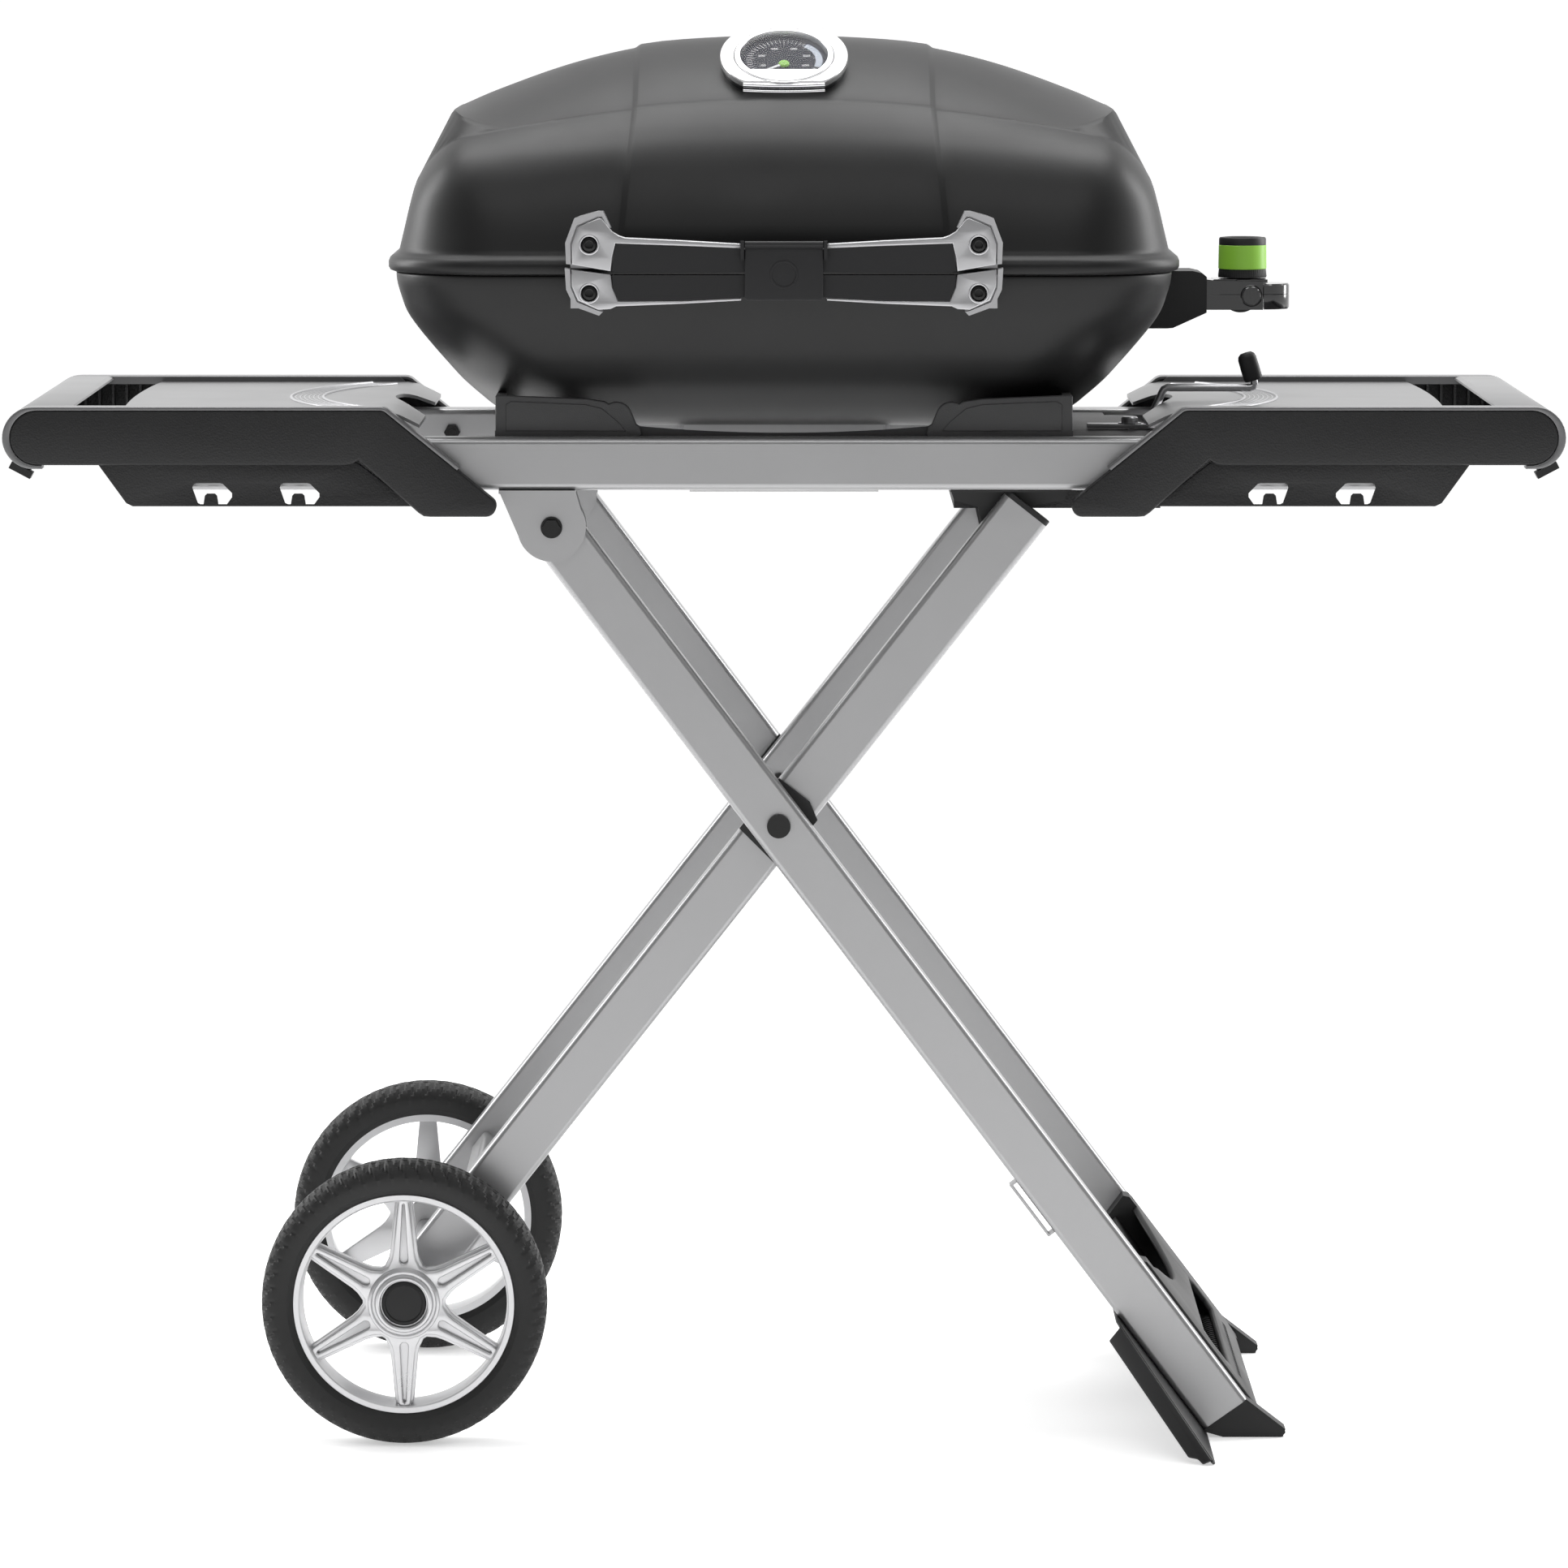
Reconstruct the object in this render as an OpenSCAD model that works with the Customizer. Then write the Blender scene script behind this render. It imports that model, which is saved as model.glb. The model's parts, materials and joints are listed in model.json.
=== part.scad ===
// Portable gas barbecue grill on a folding scissor cart.
// X runs from left to right, Y from front to back, and Z up from the floor.
// The origin is on the floor, under the middle of the grill.

/* [Cooking head] */
// Height of the seam between lid and bowl
seam_z = 892; // [888:1:896]
// Half of the width of the lid's rim
rim_half_w = 302; // [300:1:304]
// Half of the depth of the lid's rim
rim_half_d = 200; // [198:1:202]
// Wall of the lid and the bowl
cast_wall = 3.5; // [3:0.5:4.5]
// Front of the handle, measured forward from the middle
handle_front = 240; // [238:1:244]

/* [Cart frame] */
// Top face of the rails
rail_top = 769; // [768:1:770]
// Height of a rail's section
rail_h = 40; // [38:1:40]
// Width of a rail's section
rail_t = 25; // [24:1:26]
// Distance from the middle to the centre of a rail
rail_y = 172.5; // [172:0.5:173]
// Length of a rail
rail_len = 980; // [970:5:985]

/* [Shelves] */
// Distance from the middle to the end of a shelf
shelf_end = 590; // [588:1:594]
// Top edge of the shelves
shelf_top = 794; // [792:1:796]
// Half of the depth over the cheeks
cheek_y = 205; // [204:1:207]

/* [Legs] */
// Section of a leg across the fold
leg_w = 40; // [38:1:40]
// Section of a leg along the pins
leg_t = 20; // [18:1:20]
// Angle of the outer legs from upright, and of the line through both pins of an inner leg
leg_angle = 37; // [36:0.5:38]
// Angle of the inner legs from upright
inner_angle = 38.2; // [37.5:0.1:39]
// Height of the top pins
pin_z = 701; // [700:1:702]
// Distance from a top pin to the crossing pin
arm = 286; // [284:1:288]
// Radius of the pins
pin_r = 5; // [4:0.5:6]

/* [Wheels] */
// Outer radius of a tyre
wheel_r = 109; // [105:1:112]
// Width of a tyre
tyre_w = 45; // [40:1:48]
// Outer radius of a rim
rim_r = 85; // [82:1:88]

/* [Hidden] */
$fn = 48;

eps = 0.01;
fit = 0.05;

// Scissor geometry
outer_x = -4 - arm * sin(leg_angle);
cross_x = -4;
cross_z = pin_z - arm * cos(leg_angle);
slide_x = -4 + arm * sin(leg_angle);
outer_leg_y = rail_y - 0.5;
inner_leg_y = outer_leg_y - leg_t - 6;
outer_leg_len = (pin_z - 5 - leg_w / 2 * sin(leg_angle)) / cos(leg_angle);
axle_down = (cross_z - wheel_r) / cos(inner_angle);
inner_leg_up = 304;
wheel_y = 195.5;
tube_wall = 1.8;
rail_low = rail_top - rail_h;

// Shelf outline
shelf_knee = 299;
shelf_tip = 217;
shelf_foot = 710;
shelf_under = 749;
end_r = (shelf_top - 3 - shelf_under) / 2;
end_z = shelf_under + end_r;
rim_end = 5.5;
end_x = shelf_end - rim_end - end_r;
tray_z = shelf_top - 8;
cheek_bend = [321, 754];
shelf_bolt_x = [266, 440];
shelf_bolt_z = rail_top - 19;
rail_side = rail_y + rail_t / 2;
rail_inside = rail_y - rail_t / 2;

// Cooking head: height from the seam, half width, half depth, corner radius
lid_slices = [[8, 293, 192, 80], [62, 283, 175, 80], [102, 271, 149, 75], [121, 258, 131, 70],
    [134, 226, 112, 60], [151, 178, 88, 50], [163, 136, 70, 45], [171, 96, 52, 40], [175, 45, 36, 30]];
bowl_slices = [[-0.8, 296, 194, 80], [-31, 289, 187, 80], [-60, 268, 172, 78], [-85, 248, 152, 75],
    [-109, 222, 122, 70], [-121, 200, 102, 60]];
dial_tilt = 31;
dial_y = -82;
dial_z = seam_z + 160;
hinge_y = 212;
hinge_z = seam_z + 10;
hinge_x = 130;
grate_low = seam_z - 12;
burner_z = seam_z - 70;

// Gas control
gas_z = 869;
knob_x = 357;
control_x = 300;

// Lock lever: pivot, reach and height of its rod, and the rod's radius
lever_x = 268;
lever_y = -40;
lever_z = 767;
lever_reach = 366;
lever_high = 798;
lever_rod_r = 3.6;
lever_corner = [lever_reach, lever_high];
lever_tip = [lever_reach - 2, lever_high + 8];

// Height from the seam to the pivot of the latch plate
latch_up = 25.5;

// Drip pan
pan_w = 146;
pan_d = 130;
pan_low = 719;
pan_high = 733;

steel_grey = [0.72, 0.72, 0.73];
dark_grey = [0.24, 0.24, 0.25];
cast_black = [0.08, 0.08, 0.08];

// ---- shared shapes ----

module rrect(w, d, r) {
    square([w - 2 * r, d], center = true);
    square([w, d - 2 * r], center = true);
    for (sx = [-1, 1], sy = [-1, 1])
        translate([sx * (w / 2 - r), sy * (d / 2 - r)]) circle(r);
}

module tube_section(w, t) {
    difference() {
        rrect(w, t, 4);
        rrect(w - 2 * tube_wall, t - 2 * tube_wall, 2.2);
    }
}

// A stack of rounded slices blended into one closed solid, smaller all round by inset
module blended(slices, inset, down) {
    hull()
        for (s = slices)
            translate([0, 0, seam_z + s[0] - down])
                linear_extrude(0.4)
                    rrect(2 * (s[1] - inset), 2 * (s[2] - inset), s[3] - inset, $fn = 32);
}

module rod_y(r, y0, y1) {
    translate([0, y0, 0]) rotate([-90, 0, 0]) cylinder(r = r, h = y1 - y0);
}

module rod_x(r, x0, x1) {
    translate([x0, 0, 0]) rotate([0, 90, 0]) cylinder(r = r, h = x1 - x0);
}

// Extrudes an X-Z outline along Y between two depths
module slab_y(y0, y1) {
    translate([0, y1, 0]) rotate([90, 0, 0]) linear_extrude(y1 - y0) children();
}

module front_and_rear() {
    children();
    mirror([0, 1, 0]) children();
}

module left_and_right() {
    children();
    mirror([1, 0, 0]) children();
}

function arc(cx, cz, r, a0, a1, n) =
    [for (i = [0:n]) [cx + r * cos(a0 + (a1 - a0) * i / n), cz + r * sin(a0 + (a1 - a0) * i / n)]];

// ---- cooking head ----

module bowl_solid() blended(bowl_slices, 0, 0);

module lid_solid() {
    blended(lid_slices, 0, 0);
    translate([0, 0, seam_z]) linear_extrude(14) rrect(2 * rim_half_w, 2 * rim_half_d, 86);
}

module bowl() {
    color(cast_black) {
        difference() {
            union() {
                bowl_solid();
                translate([control_x - 32, -24, gas_z - 22]) cube([28, 48, 36]);
            }
            blended(bowl_slices, cast_wall, -cast_wall - 1);
            translate([0, 0, seam_z - 130]) cylinder(r = 18, h = 20);
            translate([0, 0, gas_z]) rod_x(8.1, 200, 330);
        }
        // ledges for the grates
        for (sx = [-1, 1], sy = [-1, 1])
            translate([sx * 200 - 15, sy * 172 - 12, grate_low - 22]) cube([30, 24, 22]);
        // hinge lugs
        left_and_right()
            translate([hinge_x, 0, 0]) difference() {
                union() {
                    translate([0, hinge_y, hinge_z]) rod_x(7, 0, 12);
                    translate([0, hinge_y - 24, seam_z - 12]) cube([12, 31, 11]);
                    translate([0, hinge_y - 7, seam_z - 12]) cube([12, 14, 22]);
                }
                translate([0, hinge_y, hinge_z]) rod_x(3 + eps, -1, 13);
            }
    }
}

// One front handle casting, for the upper half; the lower one is its mirror
module casting_outline() {
    polygon([[126, 1], [163, 5], [163, 30], [157, 41], [148, 46], [137, 47], [128, 30], [123, 25],
        [34, 21], [34, 17.5], [126, 21]]);
}

module casting() {
    difference() {
        translate([0, 0, seam_z + 4]) union() {
            slab_y(-handle_front, -handle_front + 20) casting_outline();
            slab_y(-handle_front, -186)
                polygon([[136, 1], [160, 4], [160, 30], [150, 42], [138, 43], [136, 30]]);
        }
        translate([146, 0, seam_z + 24]) rod_y(6.6, -handle_front - 1, -handle_front + 9);
    }
}

module handle_bolt() {
    translate([0, -handle_front + 1, 0]) difference() {
        rod_y(6.5, 0, 7.9);
        rod_y(3, -1, 4, $fn = 6);
    }
}

module lid_handle_castings() {
    color("silver") left_and_right() difference() {
        casting();
        lid_solid();
    }
}

module bowl_handle_castings() {
    color("silver") left_and_right() difference() {
        translate([0, 0, 2 * seam_z + 7]) mirror([0, 0, 1]) casting();
        bowl_solid();
        translate([100, -rim_half_d - 1, seam_z - 1]) cube([80, 60, 30]);
    }
}

module lid_grip() {
    color(dark_grey) {
        slab_y(-handle_front, -handle_front + 18)
            translate([0, seam_z + 4]) polygon([[-125.5, 1], [125.5, 1], [125.5, 20.5], [33, 17],
                [-33, 17], [-125.5, 20.5]]);
        // lugs that hold the latch plate's pivot
        left_and_right() translate([29.9, -handle_front - 5, seam_z + 12]) difference() {
            cube([3.7, 9, latch_up - 8]);
            translate([0, 3, latch_up - 12]) rod_x(1.6, -1, 3.2);
        }
    }
}

module bowl_grip() {
    color(dark_grey) slab_y(-handle_front, -handle_front + 18)
        translate([0, seam_z + 3]) polygon([[-125.5, 0], [125.5, 0], [125.5, -20.5], [33, -17],
            [-33, -17], [-125.5, -20.5]]);
}

module lid_handle_bolts() {
    color("black") for (sx = [-1, 1]) translate([sx * 146, 0, seam_z + 24]) handle_bolt();
}

module bowl_handle_bolts() {
    color("black") for (sx = [-1, 1]) translate([sx * 146, 0, seam_z - 17]) handle_bolt();
}

module handle_latch() {
    color(dark_grey) translate([0, -handle_front - 4, seam_z + 3.5]) {
        difference() {
            translate([-29.5, 0, -20]) cube([59, 3.6, 40]);
            translate([0, -1, -1]) rod_y(10, 0, 1.8);
        }
        translate([0, 2, latch_up - 3.5]) {
            rod_x(2.4, -29.5, 29.5);
            rod_x(1.55, -33, 33);
        }
    }
}

module lid() {
    color(cast_black) {
        difference() {
            union() {
                lid_solid();
                // raised panel across the middle
                hull()
                    for (s = lid_slices)
                        translate([0, 0, seam_z + s[0] + (s[0] > 100 ? 2.4 : 0)])
                            linear_extrude(0.4)
                                rrect(2 * min(112 + (171 - s[0]) * 0.07, s[1]),
                                    2 * (s[2] + 2.4), 8, $fn = 32);
            }
            blended(lid_slices, cast_wall, cast_wall);
            translate([0, 0, seam_z - 1]) linear_extrude(12) rrect(2 * 289, 2 * 188, 76);
            // pocket for the thermometer
            on_dial() translate([0, 0, -5 - fit]) linear_extrude(20) bezel_outline(fit);
        }
        // hinge lugs, inside the bowl's lugs
        left_and_right()
            translate([hinge_x, 0, 0]) difference() {
                union() {
                    translate([0, hinge_y, hinge_z]) rod_x(7, -12.4, -0.4);
                    translate([-12.4, rim_half_d - 6, seam_z + 3]) cube([12, hinge_y - rim_half_d + 6, 14]);
                }
                translate([0, hinge_y, hinge_z]) rod_x(3 + fit, -13, 0);
            }
    }
}

module hinge_pins() {
    color("silver") left_and_right()
        translate([hinge_x, hinge_y, hinge_z]) {
            rod_x(3, -15, 12);
            rod_x(5, 12, 14);
        }
}

module on_dial() {
    translate([0, dial_y, dial_z]) rotate([dial_tilt, 0, 0]) children();
}

module bezel_outline(grow) {
    intersection() {
        circle(49.5 + grow);
        square([110, 78 + 2 * grow], center = true);
    }
}

module thermometer_bezel() {
    color("gainsboro") on_dial() difference() {
        union() {
            translate([0, 0, -5]) linear_extrude(9) bezel_outline(0);
            linear_extrude(6) difference() {
                circle(35.5);
                circle(33);
            }
        }
        translate([0, 0, -1]) linear_extrude(9) intersection() {
            circle(33);
            translate([-40, -21]) square([80, 60]);
        }
    }
}

module thermometer_dial() {
    color([0.16, 0.17, 0.2]) on_dial() translate([0, 0, -1]) linear_extrude(1.2) intersection() {
        circle(32.8);
        translate([-40, -20.8]) square([80, 60]);
    }
}

module thermometer_lens() {
    color([0.8, 0.85, 0.9, 0.4]) on_dial() translate([0, 0, 4.3]) linear_extrude(1.2) intersection() {
        circle(32.8);
        translate([-40, -20.8]) square([80, 60]);
    }
}

module thermometer_needle() {
    color("white") on_dial() translate([0, -9, 1.2]) {
        cylinder(r = 3.4, h = 1.4);
        rotate([0, 0, 214]) translate([0, -0.8, 0.3]) cube([19.4, 1.6, 0.8]);
    }
}

module burner() {
    color("silver") translate([0, 0, burner_z]) {
        for (sy = [-1, 1]) translate([0, sy * 80, 0]) rod_x(9, -170, 170);
        for (sx = [-1, 1], sy = [-1, 1]) translate([sx * 170, sy * 80, 0]) sphere(9);
        for (sx = [-1, 1]) translate([sx * 170, 0, 0]) rod_y(9, -80, 80);
        translate([170, 0, 0]) rotate([0, atan2(45, gas_z - burner_z), 0])
            cylinder(r = 8, h = norm([45, gas_z - burner_z]));
        translate([0, 0, gas_z - burner_z]) rod_x(8, 215, 322);
        translate([215, 0, gas_z - burner_z]) sphere(8);
    }
}

module heat_plate() {
    color("silver") for (sy = [-1, 1]) translate([0, sy * 80, burner_z]) {
        translate([-190, 0, 12]) rotate([90, 0, 90]) linear_extrude(380)
            polygon([[-32, -2], [0, 14], [32, -2], [32, -3.6], [0, 12.4], [-32, -3.6]]);
        // feet on the burner's tubes
        for (x = [-140, 134]) translate([x, -3, 8.9]) cube([6, 6, 16]);
    }
}

module igniter_electrode() {
    color("white") difference() {
        translate([120, -40, burner_z - 6]) {
            cylinder(r = 4, h = 22);
            translate([0, 0, 20]) cylinder(r = 1.2, h = 8);
            translate([-3, -36, 0]) cube([6, 36, 2]);
        }
        translate([0, -80, burner_z]) rod_x(9 + fit, 100, 140);
    }
}

module regulator_bracket() {
    color(cast_black) difference() {
        slab_y(-26, 26) polygon([[297, 848], [316, 886], [324, 886], [328, 883], [328, 855],
            [302, 843], [297, 843]]);
        bowl_solid();
        translate([control_x - 32, -24.3, gas_z - 22.3]) cube([28.2, 48.6, 36.6]);
        translate([0, 0, gas_z]) rod_x(8.1, 280, 340);
    }
}

module regulator_housing() {
    color("black") difference() {
        union() {
            translate([328.2, -21, gas_z - 12]) cube([45, 42, 24]);
            translate([373, 0, gas_z - 12]) cylinder(r = 21, h = 20);
        }
        translate([knob_x, 0, gas_z - 2]) cylinder(r = 5.05, h = 20);
        translate([363, 0, gas_z - 1]) rod_y(7.6, -24, -14);
        translate([knob_x, 0, gas_z]) rod_y(12.7, 12, 24);
    }
}

module gas_inlet() {
    color([0.8, 0.65, 0.3]) translate([knob_x, 0, gas_z]) difference() {
        union() {
            rod_y(12.6, 12.1, 24);
            rod_y(16, 21.2, 36);
        }
        rod_y(12.1, 16, 37);
    }
}

module igniter_button() {
    color("black") translate([363, 0, gas_z - 1]) rod_y(7.3, -22.8, -18.2);
}

module control_knob() {
    color("black") translate([knob_x, 0, 0]) {
        translate([0, 0, gas_z - 1.5]) cylinder(r = 5, h = 20);
        translate([0, 0, gas_z + 13]) cylinder(r = 17.6, h = 4.2);
        translate([0, 0, gas_z + 15]) cylinder(r = 15.9, h = 24);
        translate([0, 0, gas_z + 38]) cylinder(r = 18, h = 6);
    }
}

module knob_band() {
    color([0.45, 0.8, 0.2]) translate([knob_x, 0, gas_z + 17.5]) difference() {
        cylinder(r = 18.5, h = 20.4);
        translate([0, 0, -1]) cylinder(r = 16, h = 23);
    }
}

module grate(side) {
    bars = 13;
    x0 = 4;
    x1 = 254;
    color(cast_black) translate([0, 0, grate_low]) mirror([side < 0 ? 1 : 0, 0, 0]) {
        for (i = [0:bars - 1])
            translate([x0 + i * (x1 - x0 - 6) / (bars - 1), -166, 2]) cube([6, 332, 7]);
        for (y = [-166, -87, -4, 79, 158])
            translate([x0, y, 0.3]) cube([x1 - x0, 8, 6]);
    }
}

module left_grate() grate(-1);
module right_grate() grate(1);

// ---- drip pan ----

module drip_pan() {
    color("gainsboro") difference() {
        union() {
            translate([-pan_w / 2, -pan_d / 2, pan_low]) cube([pan_w, pan_d, pan_high - pan_low - 2]);
            translate([-pan_w / 2 - 6, -pan_d / 2, pan_high - 2]) cube([pan_w + 12, pan_d, 1.5]);
        }
        translate([-pan_w / 2 + 1.5, -pan_d / 2 + 1.5, pan_low + 1.5])
            cube([pan_w - 3, pan_d - 3, 20]);
    }
}

module pan_runners() {
    color("silver") left_and_right() {
        // the slot that holds the pan's lip
        difference() {
            translate([pan_w / 2 + 1, -60, pan_high - 4]) cube([8, 120, 7]);
            translate([pan_w / 2, -61, pan_high - 2.4]) cube([6.5, 122, 2.6]);
        }
        for (y = [-52, 32])
            translate([pan_w / 2 + 6, y, pan_high + 2]) cube([3, 20, seam_z - 121 - pan_high - 2]);
    }
}

// ---- cart frame ----

module saddles() {
    color(dark_grey) left_and_right() difference() {
        union() {
            // foot plates on both rails, and the end wall between them
            front_and_rear() translate([110, 146, rail_top]) cube([110, 22, 4]);
            translate([212, -168, rail_top]) cube([8, 336, 31]);
            front_and_rear() slab_y(160, 168)
                polygon([[110, rail_top], [110, rail_top + 12], [124, rail_top + 26],
                    [140, rail_top + 31], [220, rail_top + 31], [220, rail_top]]);
        }
        // the bowl's outside, with a little air around it
        blended(bowl_slices, -0.3, 0.3);
    }
}

module rail() {
    translate([-rail_len / 2, 0, rail_top - rail_h / 2]) rotate([90, 0, 90])
        linear_extrude(rail_len) difference() {
            rrect(rail_t, rail_h, 5);
            rrect(rail_t - 2 * tube_wall, rail_h - 2 * tube_wall, 3.2);
        }
}

module front_rail() {
    color(steel_grey) difference() {
        translate([0, -rail_y, 0]) rail();
        rail_holes();
    }
}

module rear_rail() {
    color(steel_grey) difference() {
        translate([0, rail_y, 0]) rail();
        rail_holes();
    }
}

module rail_holes() {
    left_and_right() for (x = shelf_bolt_x) translate([x, 0, shelf_bolt_z]) rod_y(3.3, -220, 220);
}

module cross_members() {
    color(dark_grey) for (x = [-412, -165, 412])
        translate([x, -rail_inside, rail_low + 18]) rotate([-90, 0, 0])
            linear_extrude(2 * rail_inside) tube_section(30, 22);
}

module frame_bolts() {
    color("black") front_and_rear() {
        left_and_right() for (x = shelf_bolt_x) translate([x, 0, shelf_bolt_z]) {
            rod_y(3.2, -cheek_y + 8.5, -rail_inside + 6);
            rod_y(6.5, -rail_inside, -rail_inside + 5, $fn = 6);
        }
        // the outer legs' top pins
        translate([outer_x, 0, pin_z]) {
            rod_y(pin_r, -rail_side - 6, -rail_inside + 4);
            rod_y(8.2, -rail_side - 3.4, -rail_side - 1.5);
            rod_y(6.8, -rail_side - 8, -rail_side - 3.4, $fn = 6);
        }
    }
}

module pivot_brackets() {
    sheet = 2.5;
    out = rail_side + 1.5;
    in = rail_inside - 2.5;
    color(steel_grey) front_and_rear() difference() {
        union() {
            for (y = [[-out, -out + sheet], [-in - sheet, -in]])
                slab_y(y[0], y[1]) union() {
                    translate([outer_x, pin_z]) circle(26);
                    polygon([[outer_x - 40, rail_low], [outer_x + 18, rail_low],
                        [outer_x + 26, pin_z], [outer_x - 24.5, pin_z - 8]]);
                }
            translate([outer_x - 40, -out, rail_low - sheet]) cube([58, out - in, sheet]);
        }
        translate([outer_x, 0, pin_z]) rod_y(pin_r + fit, -220, 0);
    }
}

module lock_housing() {
    color(cast_black) difference() {
        union() {
            translate([130, -125, 711]) cube([158, 250, 55]);
            translate([150, -rail_inside, 733]) cube([105, 2 * rail_inside, 33]);
        }
        translate([134, -121, 708]) cube([150, 242, 54]);
        translate([lever_x, lever_y, 760]) cylinder(r = 4.05, h = 10);
    }
}

// ---- lock lever ----

// A straight length of the lever's rod between two points in its plane
module lever_rod(from, to, r) {
    translate([from[0], lever_y, from[1]])
        rotate([0, 90 - atan2(to[1] - from[1], to[0] - from[0]), 0])
            cylinder(r = r, h = norm(to - from));
}

module lock_lever() {
    plate_end = [lever_x + 13, lever_z + 2];
    bend = [lever_x + 26, lever_high];
    color("silver") {
        translate([lever_x - 33, lever_y - 8, lever_z]) cube([52, 16, 3.4]);
        translate([lever_x, lever_y, lever_z - 6]) cylinder(r = 4, h = 7);
        translate([lever_x, lever_y, lever_z + 3]) cylinder(r = 7.5, h = 5, $fn = 6);
        lever_rod(plate_end, bend, lever_rod_r);
        lever_rod(bend, lever_corner, lever_rod_r);
        lever_rod(lever_corner, lever_tip, lever_rod_r);
        for (p = [bend, lever_corner])
            translate([p[0], lever_y, p[1]]) sphere(lever_rod_r + eps);
    }
}

module lever_grip() {
    color("black") difference() {
        translate([lever_tip[0], lever_y, lever_tip[1] - 1.8]) rotate([0, -18, 0]) {
            cylinder(r = 7.5, h = 18);
            translate([0, 0, 18]) sphere(7.5);
        }
        lever_rod(lever_corner, lever_tip, lever_rod_r + fit);
    }
}

// ---- shelves, drawn for the right side ----

module cheek_outline(grow, push = 0) {
    g = grow;
    polygon(concat(
        arc(end_x + push, end_z, end_r + g, 90, -90, 24),
        [[cheek_bend[0] + 8, shelf_under - g], [cheek_bend[0], shelf_under + 4 - g]],
        [[272 + g / 2, shelf_foot - g]],
        arc(shelf_tip + 8, shelf_foot + 8, 8 + g, 270, 135, 6),
        arc(shelf_knee + 6, end_z + end_r - 8, 8 + g, 135, 90, 4)));
}

module cheek() {
    color(cast_black) difference() {
        union() {
            slab_y(-cheek_y, -cheek_y + 5) cheek_outline(0);
            slab_y(-cheek_y + 4, -rail_side - 1.6) difference() {
                cheek_outline(0);
                intersection() {
                    cheek_outline(-5);
                    translate([0, 690]) square([700, 96]);
                }
                translate([250, 700]) square([300, 60]);
            }
            for (x = shelf_bolt_x) translate([x, 0, shelf_bolt_z])
                rod_y(8, -cheek_y + 4, -rail_side);
        }
        for (x = shelf_bolt_x) translate([x, 0, shelf_bolt_z]) rod_y(3.3, -cheek_y + 5, -150);
        // room for the rail's end and the hook panel
        translate([200, -rail_side, 700]) cube([500, 40, 100]);
    }
}

module right_front_cheek() cheek();
module right_rear_cheek() mirror([0, 1, 0]) cheek();
module left_front_cheek() mirror([1, 0, 0]) cheek();
module left_rear_cheek() mirror([1, 0, 0]) mirror([0, 1, 0]) cheek();

module hook_panel() {
    z0 = 718;
    slab_y(-cheek_y + 5.2, -cheek_y + 8.2) difference() {
        polygon([[524, 757], [493, z0], [280, z0], [330, 745], [350, 757]]);
        for (x = [433, 367])
            polygon([[x - 15, z0 + 4], [x - 15, z0 + 10], [x - 8, z0 + 17], [x + 12, z0 + 17],
                [x + 15, z0 + 13], [x + 8, z0 + 2], [x + 6, z0 + 2], [x + 5, z0 + 9],
                [x - 5, z0 + 9], [x - 6, z0 + 2], [x - 13, z0 + 2]]);
        translate([shelf_bolt_x[1], shelf_bolt_z]) circle(8.3);
    }
}

module hook_panels() {
    color(cast_black) left_and_right() front_and_rear() hook_panel();
}

// Section of the grab handle across a shelf's end
module grab_outline() {
    intersection() {
        difference() {
            cheek_outline(2.6, rim_end - 2.6);
            cheek_outline(-0.6);
        }
        polygon([[end_x - 25, end_z], [end_x - 2, end_z], [end_x - 2, shelf_under - 10],
            [shelf_end + 10, shelf_under - 10], [shelf_end + 10, shelf_top + 10],
            [end_x - 25, shelf_top + 10]]);
    }
}

module tray() {
    inner_edge = 262;
    bow_r = 2900;
    bow_x = 506 - bow_r;
    bow = asin(rail_side / bow_r);
    wall_top = shelf_top - 1;
    color(steel_grey) {
        // rim over the top of each cheek, and down its slanting end
        front_and_rear() slab_y(-cheek_y, -rail_side - 0.4) difference() {
            cheek_outline(2.6, rim_end - 2.6);
            cheek_outline(0.3);
            // open below, from the slanting end to the grab handle
            polygon([[shelf_tip - 10, 690], [shelf_end - 45, 690], [shelf_end - 45, shelf_under],
                [400, shelf_under + 8], [280, shelf_under + 8], [245, 728], [shelf_tip - 10, 728]]);
        }
        // panel with a bowed outer edge and a hollowed inner edge
        difference() {
            union() {
                translate([0, 0, tray_z]) linear_extrude(3)
                    polygon(concat([[300, rail_side], [300, -rail_side]],
                        arc(bow_x, 0, bow_r, -bow, bow, 12)));
                slab_y(-rail_side, rail_side)
                    polygon([[300, tray_z + 3], [300, tray_z], [inner_edge, tray_z - 15],
                        [inner_edge, tray_z - 12]]);
            }
            translate([175, 0, tray_z - 30]) cylinder(r = 128, h = 60, $fn = 96);
        }
        // side walls from the panel up to the rim
        front_and_rear() slab_y(-rail_side - 1, -rail_side + 2.5)
            polygon([[302, tray_z + 1.2], [end_x - 6, tray_z + 1.2], [end_x - 6, wall_top],
                [309, wall_top]]);
        slab_y(-rail_side - 0.2, rail_side + 0.2) grab_outline();
    }
}

module right_tray() tray();
module left_tray() mirror([1, 0, 0]) tray();

module end_bumpers() {
    lean = 28;
    reach = end_r + 3;
    color("black") left_and_right() front_and_rear()
        translate([end_x + reach * sin(lean), -190, end_z - reach * cos(lean)])
            rotate([0, -lean, 0]) {
                translate([-9, -6, -9]) cube([18, 12, 5.5]);
                for (x = [-5, 5]) translate([x, 0, -4]) cylinder(r = 1.8, h = 3.2);
            }
}

// ---- legs ----

module at_outer(y) {
    translate([outer_x, y, pin_z]) rotate([0, -leg_angle, 0]) children();
}

module at_inner(y) {
    translate([cross_x, y, cross_z]) rotate([0, inner_angle, 0]) children();
}

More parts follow.
